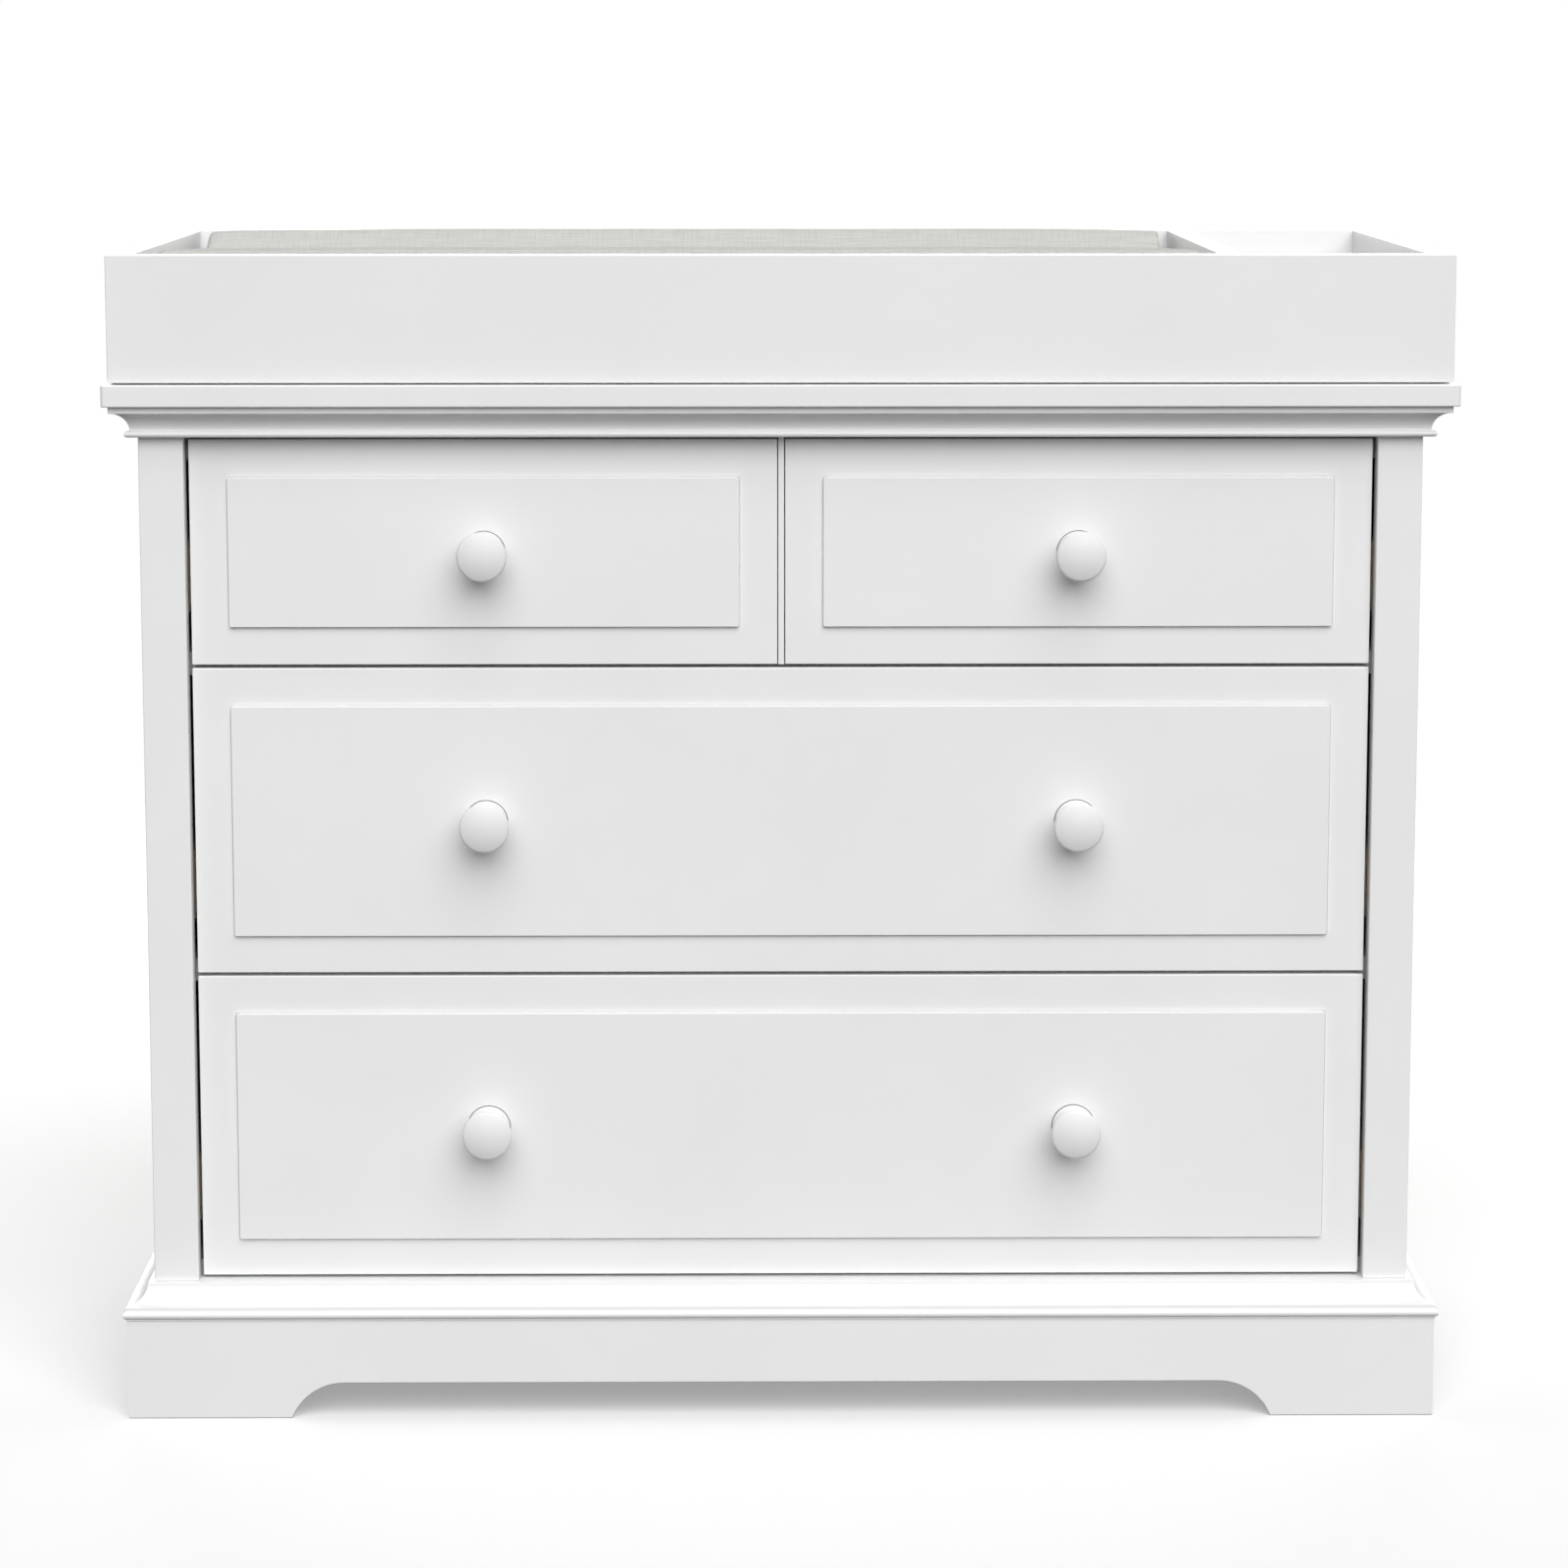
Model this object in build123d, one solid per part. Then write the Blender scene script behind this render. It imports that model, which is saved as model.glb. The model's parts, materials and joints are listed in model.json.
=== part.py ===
"""White four-drawer changing table: dresser, lift-off changing topper and contoured pad.

Axes: +X to the right, +Y to the back, +Z up. The origin is on the floor, under the centre of the
dresser top. All sizes are in millimetres.
"""
from build123d import *

import os
from math import atan2, cos, pi, sin, sqrt

# ---- dresser top -----------------------------------------------------------------------------
top_width = 1050.0
top_depth = 480.0
top_thickness = 17.0
top_overhang = 25.0  # top beyond the body, at the front and both sides
back_overhang = 5.0  # top beyond the body at the back
top_corner_radius = 3.0
edge_ease = 0.8  # small bevel that breaks each painted edge

# ---- body ------------------------------------------------------------------------------------
side_thickness = 18.0
post_width = 35.0
post_thickness = 18.0
rail_thickness = 18.0
rail_depth = 60.0
bottom_thickness = 18.0
partition_thickness = 18.0
back_thickness = 4.0
back_rebate = 9.0  # how far the back panel laps into each side panel
top_rail_drop = 20.0  # top rail behind the top drawer fronts, below the cornice
frame_thickness = 18.0  # centre stile and top rail, behind the fronts
tongue_width = 4.4  # strip of the centre stile that shows between the top drawers

# ---- cornice under the top, from the body face outwards ----------------------------------------
cornice_projection = 20.0
cornice_fillet = 5.3
cornice_cove = 14.5
cornice_bead = 4.9
cornice_bead_nose = 2.4
cornice_bead_step = 1.6

# ---- plinth ------------------------------------------------------------------------------------
base_height = 80.0
base_thickness = 18.0
base_projection = 20.0
moulding_flat = 5.0
moulding_cove = 15.7
moulding_fillet = 3.3
moulding_bead = 6.5
moulding_bead_nose = 2.4
moulding_quirk = 1.5
foot_width = 130.0
side_foot_width = 110.0
arch_height = 28.5
arch_radius = 45.0
plinth_back_thickness = 18.0
support_foot_size = 40.0

# ---- drawers -----------------------------------------------------------------------------------
wide_front_height = 243.6
top_front_height = 177.4
drawer_gap = 2.8  # above, between and below the fronts
side_gap = 3.0  # between a front and a post
tongue_gap = 0.8  # between a top drawer front and the centre stile's tongue
front_setback = 8.0  # fronts behind the post faces
front_thickness = 18.0
front_seat_gap = 0.4  # between a closed front and the rails behind it
field_proud = 3.0
field_margin = 30.0
field_corner_radius = 2.0

wide_box_height = 185.0
top_box_height = 120.0
box_rise = 15.0  # box bottom edge above the front's bottom edge
box_length = 396.0
box_side_thickness = 12.0
box_back_thickness = 12.0
box_bottom_thickness = 5.0
groove_height = 12.0  # drawer bottom above the sides' lower edges
groove_depth = 6.0
groove_slack = 0.5  # drawer bottom short of the groove's floor

# ---- drawer runners ----------------------------------------------------------------------------
runner_width = 12.7  # space between a drawer side and its mounting face
runner_height = 45.0
runner_length = 380.0
runner_sheet = 1.2
runner_play = 0.4
runner_rise = 30.0  # runner above the box's lower edge
runner_start = 3.0  # runner behind the drawer front
batten_height = 55.0

# ---- knobs and their screws --------------------------------------------------------------------
knob_radius = 19.6
knob_length = 36.0
knob_widest = 30.0  # height of the widest ring above the panel
knob_shoulder_radius = 3.0  # between the widest ring and the crown
knob_rim_angle = -pi / 3  # where the rounded edge meets the waist, seen from its centre
knob_neck_radius = 12.3
knob_neck_height = 12.0
knob_base_radius = 16.7
knob_base_height = 2.4
knob_base_step = 0.8  # flat on top of the base ring, outside the waist
knob_thread_depth = 14.0
screw_radius = 2.0
screw_hole_radius = 2.5
thread_clearance = 0.05
screw_head_radius = 4.5
screw_head_height = 2.6
screw_tip_room = 1.0

# ---- screws of the back panel ------------------------------------------------------------------
back_screw_radius = 1.6
back_screw_length = 16.0
back_screw_head_radius = 3.6
back_screw_head_height = 1.8
back_screw_margin = 60.0  # first and last screw from the back panel's ends
back_screws_per_side = 4

# ---- changing topper ---------------------------------------------------------------------------
topper_height = 100.0
topper_board = 18.0
topper_inset = 5.0  # topper inside the dresser top's edge, all round
storage_well_width = 144.0

# ---- changing pad ------------------------------------------------------------------------------
pad_height = 103.0
pad_valley_height = 44.0
pad_end_gap = 10.0  # pad to the topper at its left and right ends
pad_side_gap = 6.0  # pad to the topper at its front and back
pad_shoulder_radius = 34.0
pad_crest_flat = 12.0
pad_rest_gap = 0.3

# ---- derived places ----------------------------------------------------------------------------
front_face = -top_depth / 2 + top_overhang  # post faces
body_back = top_depth / 2 - back_overhang
half_body = top_width / 2 - top_overhang
side_inner = half_body - side_thickness
post_inner = half_body - post_width
post_back = front_face + post_thickness
back_front = body_back - back_thickness

moulding_height = moulding_quirk + moulding_bead + moulding_fillet + moulding_cove
plinth_top = base_height + moulding_height
cornice_height = cornice_bead + cornice_cove + cornice_fillet

bottom_front_z = plinth_top + drawer_gap
middle_front_z = bottom_front_z + wide_front_height + drawer_gap
top_front_z = middle_front_z + wide_front_height + drawer_gap
cornice_z = top_front_z + top_front_height + drawer_gap
body_top = cornice_z + cornice_height
slab_top = body_top + top_thickness
topper_top = slab_top + topper_height

panel_face = front_face + front_setback  # faces of the drawer fronts
panel_back = panel_face + front_thickness
rail_front = panel_back + front_seat_gap
stile_back = rail_front + frame_thickness
bottom_top_z = plinth_top + drawer_gap / 2 + bottom_thickness / 2
bottom_underside_z = bottom_top_z - bottom_thickness
lower_rail_z = middle_front_z - drawer_gap / 2 - rail_thickness / 2
upper_rail_z = top_front_z - drawer_gap / 2 - rail_thickness / 2
top_rail_z = cornice_z - top_rail_drop

front_half_width = post_inner - side_gap
centre_edge = tongue_width / 2 + tongue_gap
knob_x = (front_half_width + centre_edge) / 2
outer_box_x = post_inner - runner_width
inner_box_x = partition_thickness / 2 + runner_width
runner_front = panel_back + runner_start


# ---- helpers -----------------------------------------------------------------------------------
def board(x0, x1, y0, y1, z0, z1):
    """A square-edged board between two opposite corners."""
    centre = Pos((x0 + x1) / 2, (y0 + y1) / 2, (z0 + z1) / 2)
    return centre * Box(x1 - x0, y1 - y0, z1 - z0)


def ease_face(solid, axis, index, size=edge_ease):
    """Break every edge of the solid's first (0) or last (-1) face along an axis."""
    return chamfer(solid.faces().sort_by(axis)[index].edges(), size)


def mirrored_pair(solid):
    """The solid and its mirror image across the centre plane."""
    return [solid, mirror(solid, about=Plane.YZ)]


def save(node, *shapes):
    """Write one node's solids to its STEP file."""
    solids = [solid for shape in shapes for solid in shape.solids()]
    export_step(solids[0] if len(solids) == 1 else Compound(solids), f"parts/{node}.step")


def save_sides(stem, right_shape):
    """Write a right-hand piece and its mirrored left-hand twin."""
    save(f"{stem}_right", right_shape)
    save(f"{stem}_left", mirror(right_shape, about=Plane.YZ))


def screw(shank_radius, shank_length, head_radius, head_height):
    """Cheese-head screw along +Y, with the underside of its head at the origin."""
    along_y = Rot(90, 0, 0)
    head = Pos(0, -head_height / 2, 0) * along_y * Cylinder(head_radius, head_height)
    shank = Pos(0, shank_length / 2, 0) * along_y * Cylinder(shank_radius, shank_length)
    return head + shank


# ---- mouldings: profiles run outwards (x) and up (y) from the foot of the body's face ---------
def cornice_profile():
    """Bead, hollow cove and square fillet under the dresser top."""
    foot = cornice_projection - cornice_cove
    bead_foot = foot + cornice_bead_step
    cove_middle = (
        cornice_projection - cornice_cove * cos(pi / 4),
        cornice_bead + cornice_cove * sin(pi / 4),
    )
    edges = [
        Line((0, 0), (bead_foot, 0)),
        ThreePointArc(
            (bead_foot, 0),
            (bead_foot + cornice_bead_nose, cornice_bead / 2),
            (bead_foot, cornice_bead),
        ),
        Line((bead_foot, cornice_bead), (foot, cornice_bead)),
        ThreePointArc(
            (foot, cornice_bead), cove_middle, (cornice_projection, cornice_bead + cornice_cove)
        ),
        Line((cornice_projection, cornice_bead + cornice_cove), (cornice_projection, cornice_height)),
        Line((cornice_projection, cornice_height), (0, cornice_height)),
        Line((0, cornice_height), (0, 0)),
    ]
    return make_face(edges)


def plinth_profile(inner):
    """Bead, fillet and cove over the base boards, with a flat that the body stands on."""
    edge = moulding_flat + moulding_cove
    bead_top = moulding_quirk + moulding_bead
    cove_foot = bead_top + moulding_fillet
    cove_middle = (
        edge - moulding_cove * cos(pi / 4),
        moulding_height - moulding_cove * sin(pi / 4),
    )
    edges = [
        Line((-inner, 0), (edge, 0)),
        Line((edge, 0), (edge, moulding_quirk)),
        ThreePointArc(
            (edge, moulding_quirk),
            (edge + moulding_bead_nose, moulding_quirk + moulding_bead / 2),
            (edge, bead_top),
        ),
        Line((edge, bead_top), (edge, cove_foot)),
        ThreePointArc((edge, cove_foot), cove_middle, (moulding_flat, moulding_height)),
        Line((moulding_flat, moulding_height), (-inner, moulding_height)),
        Line((-inner, moulding_height), (-inner, 0)),
    ]
    return make_face(edges)


def base_profile():
    """Plain base board under the plinth moulding."""
    middle = Pos(base_projection - base_thickness / 2, base_height / 2)
    return middle * Rectangle(base_thickness, base_height)


def mitred_front(profile, z):
    """Front run of a moulding, cut at 45 degrees at both ends."""
    section = Plane(origin=(0, front_face, z), x_dir=(0, -1, 0), z_dir=(-1, 0, 0)) * profile
    run = extrude(section, amount=top_width, both=True)
    reach = top_depth / 2
    wedge = Polyline(
        (-half_body + reach, front_face + reach),
        (half_body - reach, front_face + reach),
        (half_body + reach, front_face - reach),
        (-half_body - reach, front_face - reach),
        close=True,
    )
    return run & extrude(make_face(wedge.edges()), amount=2 * body_top)


def mitred_right(profile, z):
    """Right-hand run of a moulding: mitred at the front and square at the back."""
    section = Plane(origin=(half_body, 0, z), x_dir=(1, 0, 0), z_dir=(0, -1, 0)) * profile
    run = extrude(section, amount=top_depth, both=True)
    reach = top_depth / 2
    wedge = Polyline(
        (half_body - reach, front_face + reach),
        (half_body + reach, front_face - reach),
        (half_body + reach, body_back),
        (half_body - reach, body_back),
        close=True,
    )
    return run & extrude(make_face(wedge.edges()), amount=2 * body_top)


def arch_cutter(opening_width, depth):
    """Straight-topped arch with rounded corners, standing on the floor and running along Y."""
    side_run = arch_radius - sqrt(max(arch_radius**2 - (arch_radius - arch_height) ** 2, 0))
    width = opening_width + 2 * side_run
    height = arch_height + 2 * arch_radius
    block = Pos(0, 0, arch_height - height / 2) * Box(width, depth, height)
    top_corners = block.edges().filter_by(Axis.Y).group_by(Axis.Z)[-1]
    return fillet(top_corners, arch_radius)


# ---- cabinet -----------------------------------------------------------------------------------
def make_top_and_cornice():
    slab = board(
        -top_width / 2, top_width / 2, -top_depth / 2, top_depth / 2, body_top, slab_top
    )
    slab = fillet(slab.edges().filter_by(Axis.Z), top_corner_radius)
    slab = ease_face(slab, Axis.Z, -1)
    slab = ease_face(slab, Axis.Z, 0)
    save("top_panel", slab)
    save("cornice_front", mitred_front(cornice_profile(), cornice_z))
    save_sides("cornice", mitred_right(cornice_profile(), cornice_z))


def back_screw_places():
    """Heights of the screws along each upright edge of the back panel."""
    span = body_top - plinth_top - 2 * back_screw_margin
    step = span / (back_screws_per_side - 1)
    return [plinth_top + back_screw_margin + n * step for n in range(back_screws_per_side)]


def back_screw_holes(radius, depth):
    """Cylinders along Y, from the back panel's face inwards, at the right-hand screw places."""
    x = side_inner + back_rebate / 2
    turn = Rot(90, 0, 0)
    return [
        Pos(x, body_back - depth / 2, z) * turn * Cylinder(radius, depth)
        for z in back_screw_places()
    ]


def make_body():
    post = board(post_inner, half_body, front_face, post_back, plinth_top, body_top)
    front_edges = post.edges().filter_by(Axis.Z).group_by(Axis.Y)[0]
    save_sides("front_post", chamfer(front_edges, edge_ease))

    hole_depth = back_screw_length + screw_tip_room
    side = board(side_inner, half_body, post_back, body_back, plinth_top, body_top)
    side -= board(
        side_inner, side_inner + back_rebate, back_front, body_back, plinth_top, body_top
    )
    for hole in back_screw_holes(back_screw_radius + thread_clearance, hole_depth):
        side -= hole
    save_sides("side_panel", side)

    half_back = side_inner + back_rebate
    back = board(-half_back, half_back, back_front, body_back, plinth_top, body_top)
    for hole in back_screw_holes(back_screw_radius + thread_clearance, hole_depth):
        back -= hole
        back -= mirror(hole, about=Plane.YZ)
    save("back_panel", back)

    one_screw = Rot(0, 0, 180) * screw(
        back_screw_radius, back_screw_length, back_screw_head_radius, back_screw_head_height
    )
    screws = []
    for z in back_screw_places():
        placed = Pos(side_inner + back_rebate / 2, body_back, z) * one_screw
        screws += mirrored_pair(placed)
    save("back_panel_screws", *screws)

    save(
        "bottom_panel",
        board(-side_inner, side_inner, rail_front, back_front, bottom_underside_z, bottom_top_z),
    )


def make_frame_between_drawers():
    front_y = (rail_front, rail_front + rail_depth)
    rear_y = (back_front - rail_depth, back_front)
    rails = [
        board(-side_inner, side_inner, *y_range, z, z + rail_thickness)
        for z, y_range in (
            (lower_rail_z, front_y),
            (upper_rail_z, front_y),
            (upper_rail_z, rear_y),
        )
    ]
    save("drawer_rails", *rails)

    behind_cornice = board(-post_inner, post_inner, front_face, rail_front, cornice_z, body_top)
    behind_fronts = board(-side_inner, side_inner, rail_front, stile_back, top_rail_z, body_top)
    save("top_rail", behind_cornice + behind_fronts)

    half_stile = partition_thickness / 2
    half_tongue = tongue_width / 2
    rail_top = upper_rail_z + rail_thickness
    stile = board(-half_stile, half_stile, rail_front, stile_back, rail_top, top_rail_z)
    tongue = board(-half_tongue, half_tongue, panel_face, rail_front, top_front_z, cornice_z)
    save("centre_stile", stile + tongue)
    save(
        "centre_partition",
        board(-half_stile, half_stile, stile_back, back_front, rail_top, body_top),
    )


def make_plinth():
    front_inner = rail_front - front_face
    save("plinth_moulding_front", mitred_front(plinth_profile(front_inner), base_height))
    save_sides("plinth_moulding", mitred_right(plinth_profile(side_thickness), base_height))

    front_opening = 2 * (half_body + base_projection - foot_width)
    front_arch = Pos(0, front_face, 0) * arch_cutter(front_opening, 2 * base_projection)
    save("plinth_front", mitred_front(base_profile(), 0) - front_arch)

    side_front = front_face - base_projection
    side_opening = body_back - side_front - 2 * side_foot_width
    side_arch = Rot(0, 0, 90) * arch_cutter(side_opening, 2 * base_projection)
    side_arch = Pos(half_body, (side_front + body_back) / 2, 0) * side_arch
    save_sides("plinth", mitred_right(base_profile(), 0) - side_arch)

    back_face = body_back - plinth_back_thickness
    base_inner = half_body + base_projection - base_thickness
    lower = board(-base_inner, base_inner, back_face, body_back, arch_height, base_height)
    upper = board(-side_inner, side_inner, back_face, body_back, base_height, bottom_underside_z)
    save("plinth_back", lower + upper)

    size = support_foot_size
    corner_x = side_inner - size / 2
    middle_y = (rail_front + back_face) / 2
    foot = Pos(0, 0, bottom_underside_z / 2) * Box(size, size, bottom_underside_z)
    feet = [Pos(0, middle_y, 0) * foot]
    for y in (rail_front + size / 2, back_face - size / 2):
        feet += [Pos(x, y, 0) * foot for x in (-corner_x, corner_x)]
    save("support_feet", *feet)


# ---- drawer runners: each section lies in (x, z), drawn from the mounting face towards the box -
def channel(x0, x1, z0, z1):
    """C-channel along Y with its web at x0 and its flanges reaching to x1."""
    step = runner_sheet if x1 > x0 else -runner_sheet
    ends = (runner_front, runner_front + runner_length)
    low, high = min(x0, x1), max(x0, x1)
    web = board(min(x0, x0 + step), max(x0, x0 + step), *ends, z0, z1)
    lower = board(low, high, *ends, z0, z0 + runner_sheet)
    upper = board(low, high, *ends, z1 - runner_sheet, z1)
    return web + lower + upper


def cabinet_channel(mount_x, side, z):
    """Outer channel, fixed to the cabinet; side is the way from the mounting face to the box."""
    return channel(mount_x, mount_x + side * (runner_width - runner_play), z, z + runner_height)


def drawer_channel(mount_x, side, z):
    """Inner channel, fixed to the drawer side and nested in the outer one."""
    inset = runner_sheet + runner_play
    return channel(
        mount_x + side * runner_width,
        mount_x + side * inset,
        z + inset,
        z + runner_height - inset,
    )


def runner_z(front_z):
    return front_z + box_rise + runner_rise


def make_runners():
    half_stile = partition_thickness / 2
    channels = []
    battens = []
    for front_z in (bottom_front_z, middle_front_z, top_front_z):
        z = runner_z(front_z)
        channels += mirrored_pair(cabinet_channel(post_inner, -1, z))
        batten_z = z + (runner_height - batten_height) / 2
        batten = board(
            post_inner, side_inner, rail_front, back_front, batten_z, batten_z + batten_height
        )
        battens += mirrored_pair(batten)
    channels += mirrored_pair(cabinet_channel(half_stile, 1, runner_z(top_front_z)))
    save("cabinet_runners", *channels)
    save("runner_battens", *battens)


# ---- drawers -----------------------------------------------------------------------------------
def turned_knob():
    """Waisted knob along +Y with its base at the origin and a blind hole for its screw."""
    dome_height = knob_length - knob_widest
    crown_radius = (
        knob_radius**2 + dome_height**2 - 2 * knob_radius * knob_shoulder_radius
    ) / (2 * (dome_height - knob_shoulder_radius))
    crown_centre = knob_length - crown_radius
    shoulder_centre = knob_radius - knob_shoulder_radius
    join_angle = atan2(knob_widest - crown_centre, shoulder_centre)

    def shoulder(angle):
        return (
            shoulder_centre + knob_shoulder_radius * cos(angle),
            knob_widest + knob_shoulder_radius * sin(angle),
        )

    def crown(angle):
        return (crown_radius * cos(angle), crown_centre + crown_radius * sin(angle))

    half_base = knob_base_height / 2
    base_inset = knob_base_radius - half_base
    ring_top = (base_inset, knob_base_height)
    waist_foot = (base_inset - knob_base_step, knob_base_height)
    edges = [
        Line((0, 0), (base_inset, 0)),
        ThreePointArc((base_inset, 0), (knob_base_radius, half_base), ring_top),
        Line(ring_top, waist_foot),
        ThreePointArc(
            waist_foot, (knob_neck_radius, knob_neck_height), shoulder(knob_rim_angle)
        ),
        ThreePointArc(
            shoulder(knob_rim_angle),
            shoulder((knob_rim_angle + join_angle) / 2),
            shoulder(join_angle),
        ),
        ThreePointArc(
            shoulder(join_angle), crown((join_angle + pi / 2) / 2), (0, knob_length)
        ),
        Line((0, knob_length), (0, 0)),
    ]
    body = revolve(make_face(edges), Axis.Y)
    hole = Rot(90, 0, 0) * Cylinder(screw_radius + thread_clearance, 2 * knob_thread_depth)
    return body - hole


def drawer_front(x0, x1, z0, height, knob_places):
    """Front board with its raised field, a groove for the bottom and holes for the knob screws."""
    front = ease_face(board(x0, x1, panel_face, panel_back, z0, z0 + height), Axis.Y, 0)
    field = board(
        x0 + field_margin,
        x1 - field_margin,
        panel_face - field_proud,
        panel_face,
        z0 + field_margin,
        z0 + height - field_margin,
    )
    field = fillet(field.edges().filter_by(Axis.Y), field_corner_radius)
    field = ease_face(field, Axis.Y, 0, min(edge_ease, field_proud / 2))
    front += field
    for x, z in knob_places:
        front -= Pos(x, panel_face, z) * Rot(90, 0, 0) * Cylinder(
            screw_hole_radius, 2 * (front_thickness + field_proud)
        )
    return front


def make_drawer(name, front_x, front_z, front_height, box_x, box_height, mounts, knob_xs):
    """One drawer: front_x and box_x are (left, right); mounts are (mounting face, side) pairs."""
    box_z = front_z + box_rise
    box_top = box_z + box_height
    box_back = panel_back + box_length
    inner_left = box_x[0] + box_side_thickness
    inner_right = box_x[1] - box_side_thickness
    reach = groove_depth - groove_slack
    bottom_z = box_z + groove_height
    bottom_top = bottom_z + box_bottom_thickness
    groove = board(
        inner_left - groove_depth,
        inner_right + groove_depth,
        panel_back - groove_depth,
        box_back,
        bottom_z,
        bottom_top,
    )

    knob_places = [(x, front_z + front_height / 2) for x in knob_xs]
    front = drawer_front(*front_x, front_z, front_height, knob_places)
    save(f"{name}_front", front - groove)

    left = board(box_x[0], inner_left, panel_back, box_back, box_z, box_top)
    right = board(inner_right, box_x[1], panel_back, box_back, box_z, box_top)
    save(f"{name}_sides", left - groove, right - groove)
    save(
        f"{name}_back",
        board(
            inner_left, inner_right, box_back - box_back_thickness, box_back, bottom_top, box_top
        ),
    )
    bottom = board(
        inner_left - reach, inner_right + reach, panel_back - reach, box_back, bottom_z, bottom_top
    )
    save(f"{name}_bottom", bottom)

    outward = Rot(0, 0, 180)
    plural = "s" if len(knob_places) > 1 else ""
    knob = outward * turned_knob()
    knob_face = panel_face - field_proud
    save(f"{name}_knob{plural}", *[Pos(x, knob_face, z) * knob for x, z in knob_places])

    shank = front_thickness + field_proud + knob_thread_depth - screw_tip_room
    knob_screw = outward * screw(screw_radius, shank, screw_head_radius, screw_head_height)
    screws = [Pos(x, panel_back, z) * knob_screw for x, z in knob_places]
    save(f"{name}_knob_screw{plural}", *screws)
    save(f"{name}_runners", *[drawer_channel(*mount, runner_z(front_z)) for mount in mounts])


def make_drawers():
    wide_front = (-front_half_width, front_half_width)
    wide_box = (-outer_box_x, outer_box_x)
    wide_mounts = [(-post_inner, 1), (post_inner, -1)]
    for name, front_z in (("drawer_bottom", bottom_front_z), ("drawer_middle", middle_front_z)):
        make_drawer(
            name, wide_front, front_z, wide_front_height, wide_box, wide_box_height,
            wide_mounts, (-knob_x, knob_x),
        )

    half_stile = partition_thickness / 2
    make_drawer(
        "drawer_top_left", (-front_half_width, -centre_edge), top_front_z, top_front_height,
        (-outer_box_x, -inner_box_x), top_box_height,
        [(-post_inner, 1), (-half_stile, -1)], (-knob_x,),
    )
    make_drawer(
        "drawer_top_right", (centre_edge, front_half_width), top_front_z, top_front_height,
        (inner_box_x, outer_box_x), top_box_height,
        [(post_inner, -1), (half_stile, 1)], (knob_x,),
    )


# ---- topper ------------------------------------------------------------------------------------
def topper_long_rail(y0, y1, outer):
    """Front or back board of the topper; outer picks the face that shows (0 front, -1 back)."""
    half = top_width / 2 - topper_inset
    rail = board(-half, half, y0, y1, slab_top, topper_top)
    face_edges = rail.faces().sort_by(Axis.Y)[outer].edges()
    end_edges = rail.edges().filter_by(Axis.Y)
    return chamfer(face_edges + end_edges, edge_ease)


def make_topper():
    half_x = top_width / 2 - topper_inset
    half_y = top_depth / 2 - topper_inset
    inner_x = half_x - topper_board
    inner_y = half_y - topper_board
    save("topper_front_rail", topper_long_rail(-half_y, -inner_y, 0))
    save("topper_back_rail", topper_long_rail(inner_y, half_y, -1))

    end = board(inner_x, half_x, -inner_y, inner_y, slab_top, topper_top)
    outer_edges = end.edges().filter_by(Axis.Y).group_by(Axis.X)[-1]
    save_sides("topper_end", chamfer(outer_edges, edge_ease))

    divider_right = inner_x - storage_well_width
    divider = board(
        divider_right - topper_board, divider_right, -inner_y, inner_y, slab_top, topper_top
    )
    save("topper_divider", divider)
    return inner_x, inner_y, divider_right - topper_board


def make_pad(left, right, half_depth):
    """Contoured pad between two x values: bolsters front and back, a valley between them."""
    crest_outer = half_depth - pad_shoulder_radius
    crest_inner = crest_outer - pad_crest_flat
    shoulder = pad_height - pad_shoulder_radius
    bulge_y = crest_outer + pad_shoulder_radius * cos(pi / 4)
    bulge_z = shoulder + pad_shoulder_radius * sin(pi / 4)
    edges = [
        Line((-half_depth, 0), (half_depth, 0)),
        Line((half_depth, 0), (half_depth, shoulder)),
        ThreePointArc((half_depth, shoulder), (bulge_y, bulge_z), (crest_outer, pad_height)),
        Line((crest_outer, pad_height), (crest_inner, pad_height)),
        ThreePointArc((crest_inner, pad_height), (0, pad_valley_height), (-crest_inner, pad_height)),
        Line((-crest_inner, pad_height), (-crest_outer, pad_height)),
        ThreePointArc((-crest_outer, pad_height), (-bulge_y, bulge_z), (-half_depth, shoulder)),
        Line((-half_depth, shoulder), (-half_depth, 0)),
    ]
    section = Plane(
        origin=(left, 0, slab_top + pad_rest_gap), x_dir=(0, 1, 0), z_dir=(1, 0, 0)
    ) * make_face(edges)
    save("changing_pad", extrude(section, amount=right - left))


os.makedirs("parts", exist_ok=True)
make_top_and_cornice()
make_body()
make_frame_between_drawers()
make_plinth()
make_runners()
make_drawers()
well_right, well_half_depth, divider_left = make_topper()
make_pad(-well_right + pad_end_gap, divider_left - pad_end_gap, well_half_depth - pad_side_gap)
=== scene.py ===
"""White four-drawer changing table with a lift-off changing topper and a contoured pad.

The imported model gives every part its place. This script dresses it: moulded, turned and eased
woodwork worked out as surfaces, a padded and covered changing pad, and a procedural finish on
every part, in a plain studio. Lengths are metres; +Z is up and the drawers open along -Y.
"""
from __future__ import annotations

import json
import logging
import math
from dataclasses import dataclass, field
from enum import Enum
from typing import Optional, Union

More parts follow.
